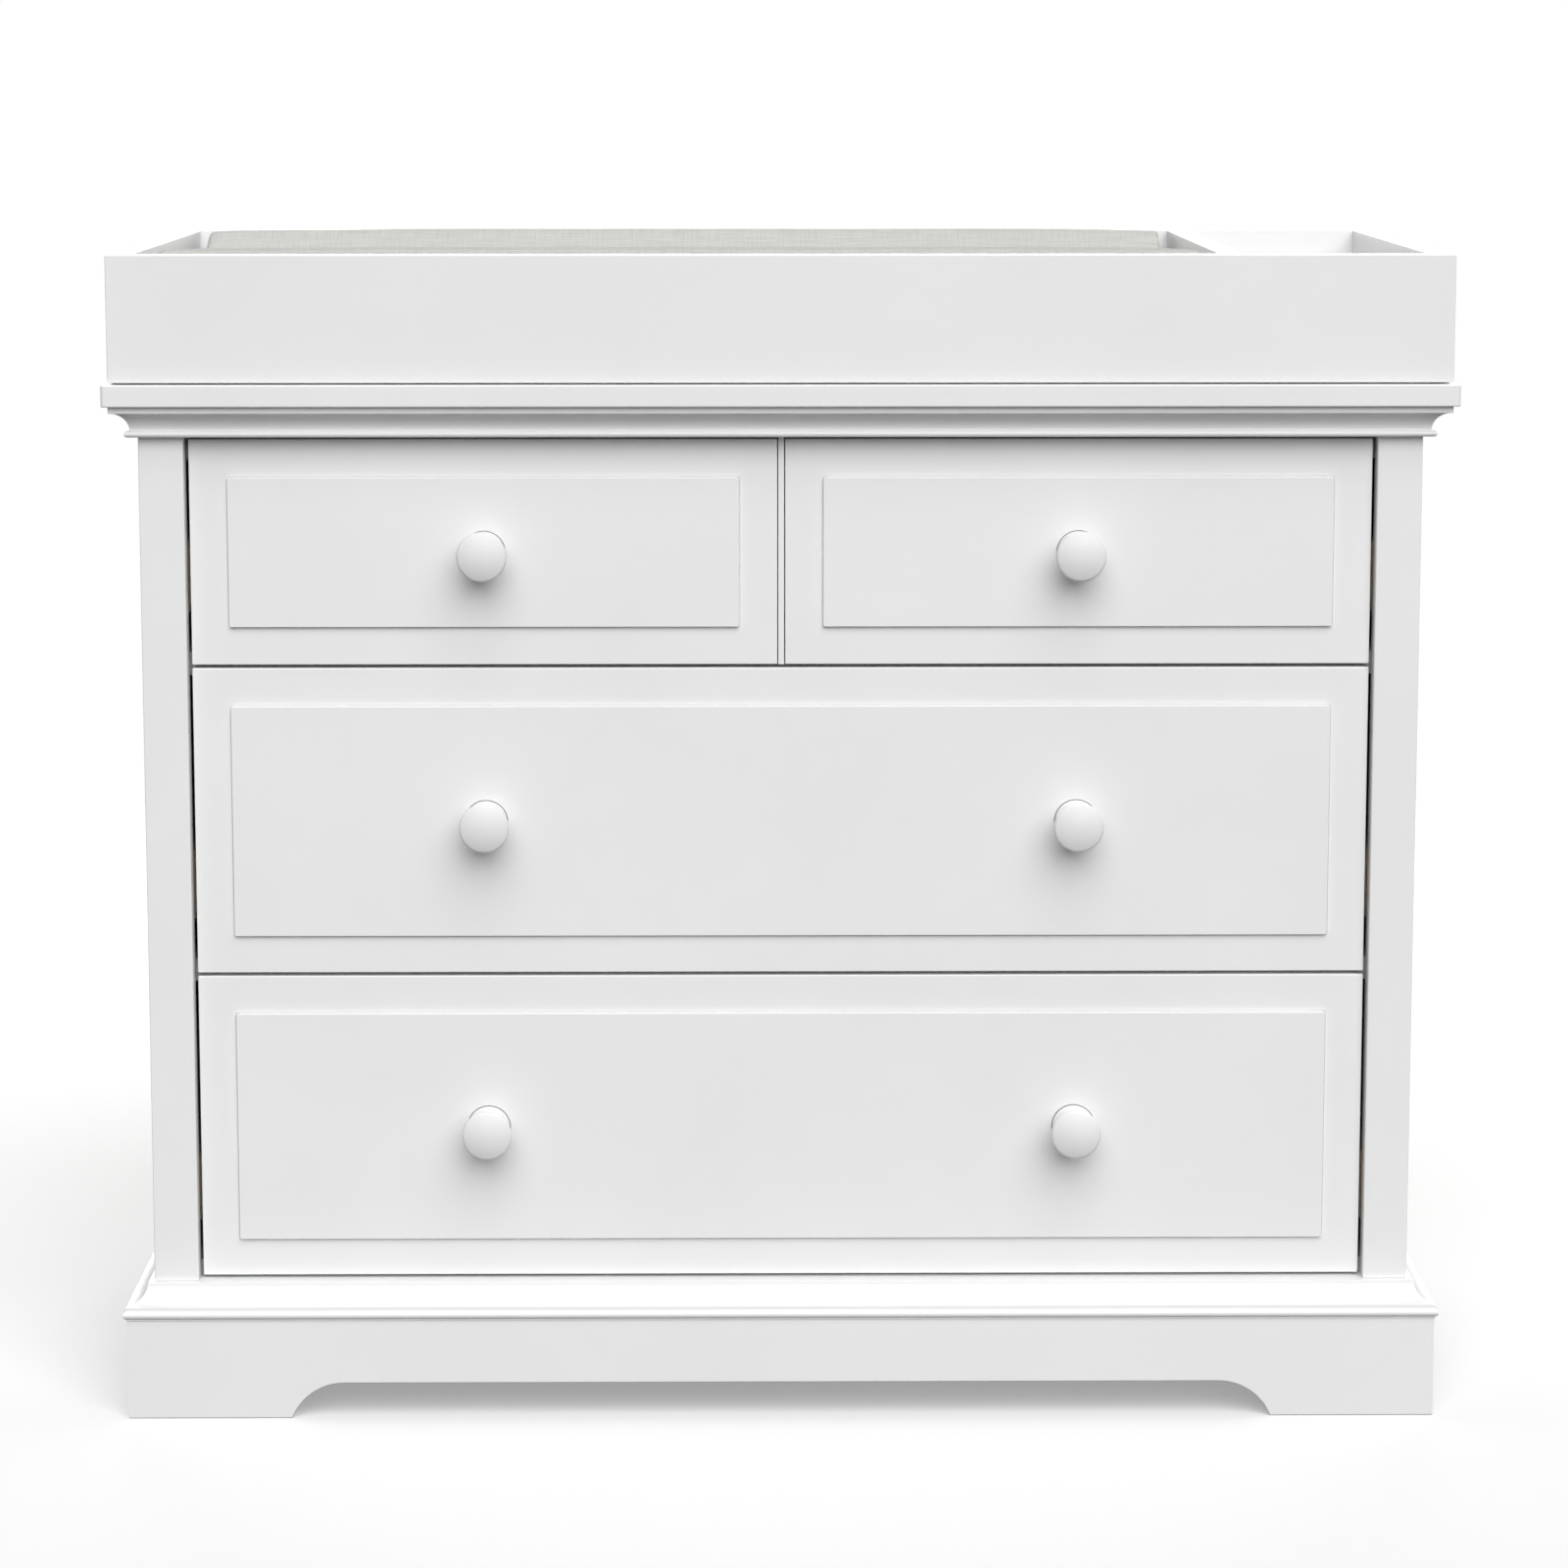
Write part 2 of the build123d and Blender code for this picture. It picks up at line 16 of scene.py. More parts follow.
import bmesh
import bpy
import numpy as np
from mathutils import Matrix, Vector

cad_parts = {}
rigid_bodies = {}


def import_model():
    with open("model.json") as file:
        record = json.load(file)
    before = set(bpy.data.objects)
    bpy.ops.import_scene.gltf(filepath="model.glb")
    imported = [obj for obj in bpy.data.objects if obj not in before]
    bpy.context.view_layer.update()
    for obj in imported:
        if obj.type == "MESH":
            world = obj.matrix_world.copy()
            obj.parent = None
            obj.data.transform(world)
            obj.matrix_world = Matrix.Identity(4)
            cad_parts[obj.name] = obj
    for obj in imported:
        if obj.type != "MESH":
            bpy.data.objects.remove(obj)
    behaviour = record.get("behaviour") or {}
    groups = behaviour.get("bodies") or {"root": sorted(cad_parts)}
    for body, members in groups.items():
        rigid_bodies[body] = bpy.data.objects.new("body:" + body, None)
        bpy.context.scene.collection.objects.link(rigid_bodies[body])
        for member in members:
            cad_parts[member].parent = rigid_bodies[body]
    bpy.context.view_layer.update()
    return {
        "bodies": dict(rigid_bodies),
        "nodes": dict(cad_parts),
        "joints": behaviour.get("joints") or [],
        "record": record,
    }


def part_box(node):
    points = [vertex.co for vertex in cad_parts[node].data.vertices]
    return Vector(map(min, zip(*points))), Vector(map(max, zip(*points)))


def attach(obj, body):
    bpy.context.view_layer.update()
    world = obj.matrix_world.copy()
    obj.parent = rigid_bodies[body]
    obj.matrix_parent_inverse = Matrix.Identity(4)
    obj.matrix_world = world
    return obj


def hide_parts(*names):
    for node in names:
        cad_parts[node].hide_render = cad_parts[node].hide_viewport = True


LOG = logging.getLogger("changing_table")
MM = 0.001
TURNED_CREASE = 40.0  # degrees; edges of turned pieces are sharp above this angle
Pair = tuple[float, float]
Triple = tuple[float, float, float]
Colour = tuple[float, float, float]
Socket = bpy.types.NodeSocket
Value = Union[Socket, float, tuple[float, ...]]
Nodes = dict[str, bpy.types.Object]

RIGHTWARD: Triple = (1.0, 0.0, 0.0)
BACKWARD: Triple = (0.0, 1.0, 0.0)
FORWARD: Triple = (0.0, -1.0, 0.0)
WHITE = (1.0, 1.0, 1.0, 1.0)
TINY = 1e-9  # keeps a division by a length above zero


class Slot(Enum):
    """Finishes that the parts are made in."""

    PAINT = "white_paint"
    BOX_WOOD = "drawer_box_wood"
    HARDBOARD = "hardboard"
    RUNNER = "runner_steel"
    SCREW = "screw_steel"
    FABRIC = "pad_fabric"


class Body(Enum):
    """Bodies that the parts ride on."""

    CABINET = "cabinet"
    TOP_LEFT = "drawer_top_left"
    TOP_RIGHT = "drawer_top_right"
    MIDDLE = "drawer_middle"
    BOTTOM = "drawer_bottom"
    TOPPER = "topper"
    PAD = "pad"


class Side(Enum):
    """The two sides of the dresser, as the sign of x."""

    LEFT = -1.0
    RIGHT = 1.0


class Grain(Enum):
    """Direction in which a board's grain runs, as the turn of the pattern about Z."""

    ALONG_X = 0.0
    ALONG_Y = -math.pi / 2


# ---- surfaces ----------------------------------------------------------------------------------
@dataclass
class Patchwork:
    """Grids of points and flat caps that are joined into one closed mesh.

    Points nearer than the weld distance become one vertex, and a face that loses corners to that
    becomes a triangle or is dropped, so seams and poles close. The offset keeps round numbers
    away from the borders of the cells that points are sorted into.

    Attributes:
        weld: Weld distance.
        offset: The offset, as a share of the weld distance.
        points: Places of the points, one array for each patch.
        faces: Corners of the faces, one array for each patch.
        maps: Flat pattern coordinates of the corners, one array for each patch.
        tally: Number of points so far.
    """

    weld: float = 0.002 * MM
    offset: float = 0.317
    points: list[np.ndarray] = field(default_factory=list)
    faces: list[np.ndarray] = field(default_factory=list)
    maps: list[np.ndarray] = field(default_factory=list)
    tally: int = 0

    def grid(
        self,
        points: np.ndarray,
        wrap_u: bool = False,
        wrap_v: bool = False,
        flat: Optional[np.ndarray] = None,
    ) -> Patchwork:
        """Add a sheet of four-sided faces between neighbours on a grid.

        Args:
            points: Places of the grid's points, as an array of u by v by 3.
            wrap_u: Whether the last row joins the first.
            wrap_v: Whether the last column joins the first.
            flat: Flat pattern coordinates of the points, as an array of u by v by 2.

        Returns:
            This patchwork.
        """
        rows, columns = points.shape[:2]
        index = np.arange(rows * columns).reshape(rows, columns)
        if wrap_u:
            index = np.vstack([index, index[:1]])
        if wrap_v:
            index = np.hstack([index, index[:, :1]])
        corners = [index[:-1, :-1], index[1:, :-1], index[1:, 1:], index[:-1, 1:]]
        quads = np.stack(corners, axis=-1).reshape(-1, 4)
        pattern = np.zeros((rows * columns, 2)) if flat is None else flat.reshape(-1, 2)
        self.points.append(points.reshape(-1, 3))
        self.faces.append(quads + self.tally)
        self.maps.append(pattern[quads])
        self.tally += rows * columns
        return self

    def cap(self, ring: np.ndarray) -> Patchwork:
        """Add one flat face over a ring of points.

        Args:
            ring: Places of the ring's points, as an array of n by 3.

        Returns:
            This patchwork.
        """
        self.points.append(ring)
        self.faces.append(np.arange(len(ring))[None] + self.tally)
        self.maps.append(np.zeros((1, len(ring), 2)))
        self.tally += len(ring)
        return self

    def mesh(self, name: str, crease: float = 32.0) -> bpy.types.Mesh:
        """Weld the patches into a mesh with outward faces and crisp edges.

        Args:
            name: Name of the mesh.
            crease: Angle in degrees above which an edge stays sharp.

        Returns:
            The finished mesh, with its flat pattern coordinates in the UV map "flat".
        """
        cloud = np.concatenate(self.points)
        keys = np.round(cloud / self.weld + self.offset).astype(np.int64)
        _, first, place = np.unique(keys, axis=0, return_index=True, return_inverse=True)
        place = place.reshape(-1)
        loops, totals, flats = [], [], []
        for faces, pattern in zip(self.faces, self.maps):
            merged = place[faces]
            kept = merged != np.roll(merged, 1, axis=1)
            whole = kept.sum(axis=1) >= 3  # corners that a face needs
            kept &= whole[:, None]
            loops.append(merged[kept])
            flats.append(pattern[kept])
            totals.append(kept.sum(axis=1)[whole])
        total = np.concatenate(totals)
        corner = np.concatenate(loops)
        mesh = bpy.data.meshes.new(name)
        mesh.vertices.add(len(first))
        mesh.vertices.foreach_set("co", cloud[first].astype(np.float32).ravel())
        mesh.loops.add(len(corner))
        mesh.loops.foreach_set("vertex_index", corner.astype(np.int32))
        mesh.polygons.add(len(total))
        starts = np.concatenate([[0], np.cumsum(total)[:-1]])
        mesh.polygons.foreach_set("loop_start", starts.astype(np.int32))
        layer = mesh.uv_layers.new(name="flat")
        layer.data.foreach_set("uv", np.concatenate(flats).astype(np.float32).ravel())
        mesh.update(calc_edges=True)
        mesh.validate()
        turn_outward(mesh)
        mesh.polygons.foreach_set("use_smooth", np.ones(len(mesh.polygons), bool))
        mesh.set_sharp_from_angle(angle=math.radians(crease))
        return mesh


def turn_outward(mesh: bpy.types.Mesh) -> None:
    """Turn every face of a closed mesh to point outwards.

    Args:
        mesh: The mesh to put right, in place.
    """
    shell = bmesh.new()
    shell.from_mesh(mesh)
    bmesh.ops.recalc_face_normals(shell, faces=shell.faces)
    shell.to_mesh(mesh)
    shell.free()


def arc(centre: Pair, radius: float, start: float, end: float, steps: int) -> np.ndarray:
    """Points on a circle's arc: centre + radius * (cos t, sin t) for t from start to end.

    Args:
        centre: Centre of the circle.
        radius: Its radius.
        start: First angle in degrees.
        end: Last angle in degrees.
        steps: Number of equal steps.

    Returns:
        An array of steps + 1 by 2.
    """
    turn = np.radians(np.linspace(start, end, steps + 1))
    return np.array(centre) + radius * np.stack([np.cos(turn), np.sin(turn)], axis=-1)


def bulge(start: Pair, end: Pair, rise: float, steps: int) -> np.ndarray:
    """Points on the arc that joins two points and rises to the right of the way between them.

    The circle through both ends with that rise has radius (h * h + rise * rise) / (2 * rise),
    where h is half the distance between the ends.

    Args:
        start: First end.
        end: Last end.
        rise: Height of the arc over the straight line; less than 0 where it rises to the left.
        steps: Number of equal steps.

    Returns:
        An array of steps + 1 by 2.
    """
    a, b = np.array(start), np.array(end)
    half = np.linalg.norm(b - a) / 2
    along = (b - a) / (2 * half)
    across = np.array([along[1], -along[0]]) * math.copysign(1.0, rise)
    rise = abs(rise)
    radius = (half**2 + rise**2) / (2 * rise)
    reach = math.atan2(half, radius - rise)
    turn = np.linspace(-reach, reach, steps + 1)[:, None]
    centre = (a + b) / 2 - across * (radius - rise)
    return centre + radius * (across * np.cos(turn) + along * np.sin(turn))


def through(start: Pair, middle: Pair, end: Pair, steps: int) -> np.ndarray:
    """Points on the arc through three points, less than half a circle.

    With a and b the ends and m the middle point, the circle's centre c is the point as far from
    all three: 2 (b - a) . c = b . b - a . a and 2 (m - a) . c = m . m - a . a.

    Args:
        start: First end.
        middle: A point that it passes through.
        end: Last end.
        steps: Number of equal steps.

    Returns:
        An array of steps + 1 by 2.
    """
    a, m, b = np.array(start), np.array(middle), np.array(end)
    centre = np.linalg.solve(2 * np.array([b - a, m - a]), [b @ b - a @ a, m @ m - a @ a])
    first, last = (math.degrees(math.atan2(*(point - centre)[::-1])) for point in (a, b))
    sweep = (last - first + 180.0) % 360.0 - 180.0
    return arc(tuple(centre), float(np.linalg.norm(a - centre)), first, first + sweep, steps)


def eased(
    outline: np.ndarray, radius: float, steps: int = 3, least: float = 18.0, most: float = 0.45
) -> np.ndarray:
    """Round the corners of a closed outline.

    Each corner p becomes the curve (1-s)(1-s) a + 2 s (1-s) p + s s b between the points a and b
    that lie before and after it on its two straight sides.

    Args:
        outline: Corner points in order, as an array of n by 2.
        radius: Radius that a square corner gets.
        steps: Steps in each rounded corner.
        least: Smallest turn, in degrees, that counts as a corner.
        most: Largest share of a side that its corner may take.

    Returns:
        The rounded outline, as an array of n * (steps + 1) by 2; smooth points are repeated.
    """
    before = outline - np.roll(outline, 1, axis=0)
    after = np.roll(outline, -1, axis=0) - outline
    length_in = np.linalg.norm(before, axis=1)
    length_out = np.linalg.norm(after, axis=1)
    way_in = before / length_in[:, None]
    way_out = after / length_out[:, None]
    turn = np.arccos(np.clip((way_in * way_out).sum(axis=1), -1.0, 1.0))
    cut = np.minimum(radius * np.tan(turn / 2), most * np.minimum(length_in, length_out))
    cut = np.where(turn > math.radians(least), cut, 0.0)[:, None]
    first = (outline - way_in * cut)[:, None]
    last = (outline + way_out * cut)[:, None]
    s = np.linspace(0.0, 1.0, steps + 1)[None, :, None]
    curve = (1 - s) ** 2 * first + 2 * s * (1 - s) * outline[:, None] + s**2 * last
    return curve.reshape(-1, 2)


def quarter_turns(steps: int) -> tuple[np.ndarray, np.ndarray, np.ndarray]:
    """Angles round a circle in four quarters, each with both of its ends.

    Args:
        steps: Steps in each quarter.

    Returns:
        The angles and the signs of their quarter's two coordinates, each as a column.
    """
    quarter = np.linspace(0, math.pi / 2, steps + 1)
    around = np.concatenate([quarter + n * math.pi / 2 for n in range(4)])[:, None]
    sign_u = np.repeat([1.0, -1.0, -1.0, 1.0], steps + 1)[:, None]
    sign_v = np.repeat([1.0, 1.0, -1.0, -1.0], steps + 1)[:, None]
    return around, sign_u, sign_v


def rectangle_rings(
    centre_u: float,
    centre_v: float,
    half_u: float,
    half_v: float,
    insets: np.ndarray,
    corners: np.ndarray,
    steps: int = 5,
) -> np.ndarray:
    """Nested rounded rectangles.

    A ring's point is centre + sign * (half - inset - corner) + corner * (cos t, sin t), where the
    sign is that of the quarter that the angle t lies in.

    Args:
        centre_u: Centre of the rectangles, first coordinate.
        centre_v: Centre of the rectangles, second coordinate.
        half_u: Half of the first side at no inset.
        half_v: Half of the second side at no inset.
        insets: How far each ring lies inside the first.
        corners: Corner radius of each ring.
        steps: Steps in each corner.

    Returns:
        An array of points around by rings by 2.
    """
    around, sign_u, sign_v = quarter_turns(steps)
    u = centre_u + sign_u * (half_u - insets - corners) + corners * np.cos(around)
    v = centre_v + sign_v * (half_v - insets - corners) + corners * np.sin(around)
    return np.stack([u, v], axis=-1)


def eased_board(low: np.ndarray, high: np.ndarray, ease: float, steps: int = 4) -> Patchwork:
    """Board with every edge and corner rounded.

    A unit sphere's point n(u, v) is scaled by the ease and carried out to the corner of the
    board shrunk by the ease that lies on its side: centre + sign * (half - ease) + ease * n.

    Args:
        low: Lowest corner.
        high: Highest corner.
        ease: Radius of the edges.
        steps: Steps in each rounded edge.

    Returns:
        The board's surface.
    """
    centre = (low + high) / 2
    half = (high - low) / 2
    around, side_x, side_y = quarter_turns(steps)
    quarter = np.linspace(0, math.pi / 2, steps + 1)
    up = np.concatenate([quarter - math.pi / 2, quarter])[None]
    side_z = np.repeat([-1.0, 1.0], steps + 1)[None]
    normal = np.stack(
        np.broadcast_arrays(np.cos(up) * np.cos(around), np.cos(up) * np.sin(around), np.sin(up)),
        axis=-1,
    )
    corner = np.stack(np.broadcast_arrays(side_x, side_y, side_z), axis=-1)
    corner = np.broadcast_to(corner, normal.shape)
    points = centre + corner * (half - ease) + ease * normal
    patch = Patchwork().grid(points, wrap_u=True)
    return patch.cap(points[:, 0]).cap(points[:, -1])


@dataclass(frozen=True)
class Run:
    """A straight length of moulding: where it starts, its directions and its ends.

    Attributes:
        origin: Point at the foot of the face that the moulding stands on.
        along: Unit direction of the run.
        outward: Unit direction away from the face.
        start: First end along the run, measured at the face.
        end: Last end along the run, measured at the face.
        mitre_start: 1 where the first end is cut at 45 degrees, 0 where it is square.
        mitre_end: The same for the last end.
    """

    origin: Triple
    along: Triple
    outward: Triple
    start: float
    end: float
    mitre_start: float
    mitre_end: float

    def place(self, out: np.ndarray, up: np.ndarray, way: np.ndarray) -> np.ndarray:
        """Points at origin + outward * out + up + along * way.

        Args:
            out: Distances away from the face.
            up: Heights.
            way: Distances along the run; all three are arrays of one shape.

        Returns:
            An array of that shape by 3.
        """
        rise = np.array([0.0, 0.0, 1.0])
        return (
            np.array(self.origin)
            + np.array(self.outward) * out[..., None]
            + rise * up[..., None]
            + np.array(self.along) * way[..., None]
        )

    def ends(self, out: np.ndarray) -> tuple[np.ndarray, np.ndarray]:
        """The run's first and last place at each distance from its face."""
        return self.start - self.mitre_start * out, self.end + self.mitre_end * out

    def moulding(self, outline: np.ndarray) -> Patchwork:
        """Carry a closed outline along the run and close its two cut ends.

        Args:
            outline: Points of the section as (out, up), an array of n by 2.

        Returns:
            The moulding's surface.
        """
        out, up = outline[:, 0], outline[:, 1]
        way = np.stack(self.ends(out), axis=1)
        points = self.place(
            np.repeat(out[:, None], 2, axis=1), np.repeat(up[:, None], 2, axis=1), way
        )
        patch = Patchwork().grid(points, wrap_u=True)
        return patch.cap(points[:, 0]).cap(points[:, 1])


def runs_round(half: float, front: float, back: float, height: float) -> dict[str, Run]:
    """Runs along the front and both sides of the cabinet, mitred where they meet.

    Args:
        half: Half of the front's width.
        front: Place of the front face.
        back: Place of the rear end of both sides.
        height: Height of the foot of the runs.

    Returns:
        The runs by their word in the nodes' names.
    """
    runs = {"front": Run((0.0, front, height), RIGHTWARD, FORWARD, -half, half, 1.0, 1.0)}
    for side in Side:
        outward = (side.value, 0.0, 0.0)
        origin = (side.value * half, 0.0, height)
        runs[side.name.lower()] = Run(origin, BACKWARD, outward, front, back, 1.0, 0.0)
    return runs


# ---- materials ---------------------------------------------------------------------------------
@dataclass(frozen=True)
class Noise:
    """One layer of cloudy noise.

    Attributes:
        scale: Clouds in a metre.
        detail: Number of finer layers.
        rough: Share of each finer layer.
    """

    scale: float
    detail: float = 2.0
    rough: float = 0.5


@dataclass(frozen=True)
class Strand:
    """Noise that is drawn out along one direction.

    Attributes:
        along: Frequency along the direction.
        across: Frequency across it.
        detail: Number of finer layers.
        rough: Share of each finer layer.
    """

    along: float
    across: float
    detail: float = 2.0
    rough: float = 0.5


@dataclass(frozen=True)
class Ramp:
    """A range of values that is mapped onto another and held inside it.

    Attributes:
        low: Value that becomes to_low, as does all below it.
        high: Value that becomes to_high, as does all above it.
        to_low: Result at low.
        to_high: Result at high.
    """

    low: float
    high: float
    to_low: float = 0.0
    to_high: float = 1.0


class Recipe:
    """Builds one material's nodes and links."""

    def __init__(self, name: str) -> None:
        """Start a material with its surface shader.

        Args:
            name: Name of the material.
        """
        self.material = bpy.data.materials.new(name)
        self.material.use_nodes = True
        self.tree = self.material.node_tree
        self.shader = self.tree.nodes["Principled BSDF"]
        self.place = self.node("ShaderNodeTexCoord").outputs["Object"]

    def node(
        self,
        kind: str,
        inputs: Optional[dict[Union[int, str], Value]] = None,
        **settings: Union[str, float],
    ) -> bpy.types.Node:
        """Add a node.

        Args:
            kind: Blender's name for the kind of node.
            inputs: Values or sockets for its inputs, by name or number.
            **settings: Values of its properties.

        Returns:
            The node.
        """
        made = self.tree.nodes.new(kind)
        for name, value in settings.items():
            setattr(made, name, value)
        for key, value in (inputs or {}).items():
            self.feed(made.inputs[key], value)
        return made

    def feed(self, socket: Socket, value: Value) -> None:
        """Link a socket to an input, or set the input's own value.

        Args:
            socket: The input.
            value: Socket to link, or the value to set.
        """
        if isinstance(value, bpy.types.NodeSocket):
            self.tree.links.new(value, socket)
        else:
            socket.default_value = value

    def stretched(self, source: Socket, scale: Triple, turn: Triple = (0.0, 0.0, 0.0)) -> Socket:
        """Pattern coordinates turned about the axes and then scaled along each axis.

        Args:
            source: The coordinates.
            scale: Scale along each axis.
            turn: Angle about each axis.

        Returns:
            The new coordinates.
        """
        turned = self.node("ShaderNodeMapping", {"Vector": source, "Rotation": turn})
        mapping = self.node("ShaderNodeMapping", {"Vector": turned.outputs[0], "Scale": scale})
        return mapping.outputs[0]

    def noise(self, source: Socket, layer: Noise) -> Socket:
        """Cloudy noise between 0 and 1.

        Args:
            source: Pattern coordinates.
            layer: Settings of the noise.

        Returns:
            The noise.
        """
        settings = {"Scale": layer.scale, "Detail": layer.detail, "Roughness": layer.rough}
        made = self.node("ShaderNodeTexNoise", {"Vector": source, **settings})
        return made.outputs["Fac"]

    def strands(self, strand: Strand, turn: Triple = (0.0, 0.0, 0.0)) -> Socket:
        """Noise between 0 and 1, drawn out along one direction.

        Args:
            strand: Settings of the noise.
            turn: Angles that turn the direction to X.

        Returns:
            The noise.
        """
        scale = (strand.along, strand.across, strand.across)
        lying = self.stretched(self.place, scale, turn)
        return self.noise(lying, Noise(1.0, strand.detail, strand.rough))

    def spread(self, value: Value, ramp: Ramp) -> Socket:
        """Map a value's range onto another, held inside it.

        Args:
            value: The value.
            ramp: Both ranges.

        Returns:
            The result.
        """
        start = {"From Min": ramp.low, "From Max": ramp.high}
        end = {"To Min": ramp.to_low, "To Max": ramp.to_high}
        made = self.node("ShaderNodeMapRange", {"Value": value, **start, **end})
        return made.outputs["Result"]

    def sum(self, first: Value, second: Value, share: float = 1.0) -> Socket:
        """The first value plus a share of the second.

        Args:
            first: First value.
            second: Second value.
            share: What the second is multiplied by.

        Returns:
            The sum.
        """
        made = self.node(
            "ShaderNodeMath", {0: second, 1: share, 2: first}, operation="MULTIPLY_ADD"
        )
        return made.outputs[0]

    def product(self, first: Value, second: Value) -> Socket:
        """Multiply two values."""
        return self.node("ShaderNodeMath", {0: first, 1: second}, operation="MULTIPLY").outputs[0]

    def blend(self, amount: Value, first: Value, second: Value) -> Socket:
        """Mix two colours by an amount between 0 and 1.

        Args:
            amount: 0 for the first colour, 1 for the second.
            first: First colour.
            second: Second colour.

        Returns:
            The mixed colour.
        """
        made = self.node("ShaderNodeMix", {"Factor": amount}, data_type="RGBA")
        ends = made.inputs[6], made.inputs[7]
        for end, colour in zip(ends, (first, second)):
            self.feed(end, (*colour, 1.0) if isinstance(colour, tuple) else colour)
        return made.outputs[2]

    def relief(self, height: Value, depth: float) -> None:
        """Give the shader bumps of a height, where 1 stands for the depth."""
        bump = self.node("ShaderNodeBump", {"Height": height, "Distance": depth, "Strength": 1.0})
        self.feed(self.shader.inputs["Normal"], bump.outputs["Normal"])

    def set(self, **values: Value) -> None:
        """Set or link the shader's inputs, with underscores for spaces in their names."""
        for name, value in values.items():
            self.feed(self.shader.inputs[name.replace("_", " ")], value)


@dataclass(frozen=True)
class Lacquer:
    """Sprayed satin white lacquer on smooth board.

    Attributes:
        name: Name of the material.
        colour: Colour where the film is full.
        thin_colour: Colour where it is a little thinner.
        cloud: Broad cloudiness in tone and gloss.
        toned: Cloudiness over which the colour goes from thin to full.
        film: Slow swell of the film.
        swell: Share of the swell in the relief.
        peel: Depth of the fine orange peel.
        dimples: Pattern of the peel.
        cloud_share: Share of the cloudiness in the gloss.
        gloss: How the swell and the cloudiness become roughness.
        rings: Depth of the fine rings that turning leaves, or 0.
        lathe: Pattern of the rings.
        ring_wander: How soon a ring changes along its length.
        seam: Width of the painted shade line at the foot of a turned surface's own "flat" map: a
            dark band that stands for the shadow where a knob meets the front.
        painted_shade_colour: Colour of that painted shade.
        painted_shade_edge: Width over which the painted shade ends.
    """

    name: str
    colour: Colour = (0.842, 0.842, 0.842)
    thin_colour: Colour = (0.815, 0.816, 0.818)
    cloud: Noise = Noise(5.0, 4.0, 0.55)
    toned: Ramp = Ramp(0.3, 0.7)
    film: Noise = Noise(45.0, 3.0)
    swell: float = 1.6
    peel: float = 0.018 * MM
    dimples: Noise = Noise(520.0, 2.0, 0.6)
    cloud_share: float = 0.5
    gloss: Ramp = Ramp(0.5, 1.0, 0.38, 0.5)
    rings: float = 0.0
    lathe: Noise = Noise(900.0, 3.0, 0.6)
    ring_wander: float = 0.35
    # Painted shade: the seam width is a dark band at the foot of a turned profile that stands for
    # the shadow where a knob meets the front.
    seam: float = 0.0
    painted_shade_colour: Colour = (0.2, 0.2, 0.2)
    painted_shade_edge: float = 0.1 * MM

    def material(self) -> bpy.types.Material:
        """Broad cloudiness in tone and gloss, over a fine peel and a slow swell.

        Returns:
            The material.
        """
        mix = Recipe(self.name)
        cloud = mix.noise(mix.place, self.cloud)
        film = mix.noise(mix.place, self.film)
        peel = mix.noise(mix.place, self.dimples)
        tone = mix.spread(cloud, self.toned)
        gloss = mix.spread(mix.sum(film, cloud, self.cloud_share), self.gloss)
        height = mix.sum(peel, film, self.swell)
        colour = mix.blend(tone, self.thin_colour, self.colour)
        if self.rings:
            flat = mix.node("ShaderNodeUVMap", uv_map="flat").outputs[0]
            along = mix.node("ShaderNodeSeparateXYZ", {0: flat}).outputs["Y"]
            # Painted shade: the first stretch of the turned profile is coloured dark, standing for
            # the shadow where the knob meets the front.
            past_painted_shade = mix.spread(along, Ramp(self.seam, self.seam + self.painted_shade_edge))
            colour = mix.blend(past_painted_shade, self.painted_shade_colour, colour)
            turned = mix.stretched(flat, (self.ring_wander, 1.0, 1.0))
            height = mix.sum(height, mix.noise(turned, self.lathe), self.rings / self.peel)
        mix.relief(height, self.peel)
        mix.set(
            Base_Color=colour,
            Roughness=gloss,
            Specular_IOR_Level=0.42,
            Coat_Weight=0.12,
            Coat_Roughness=0.22,
        )
        return mix.material


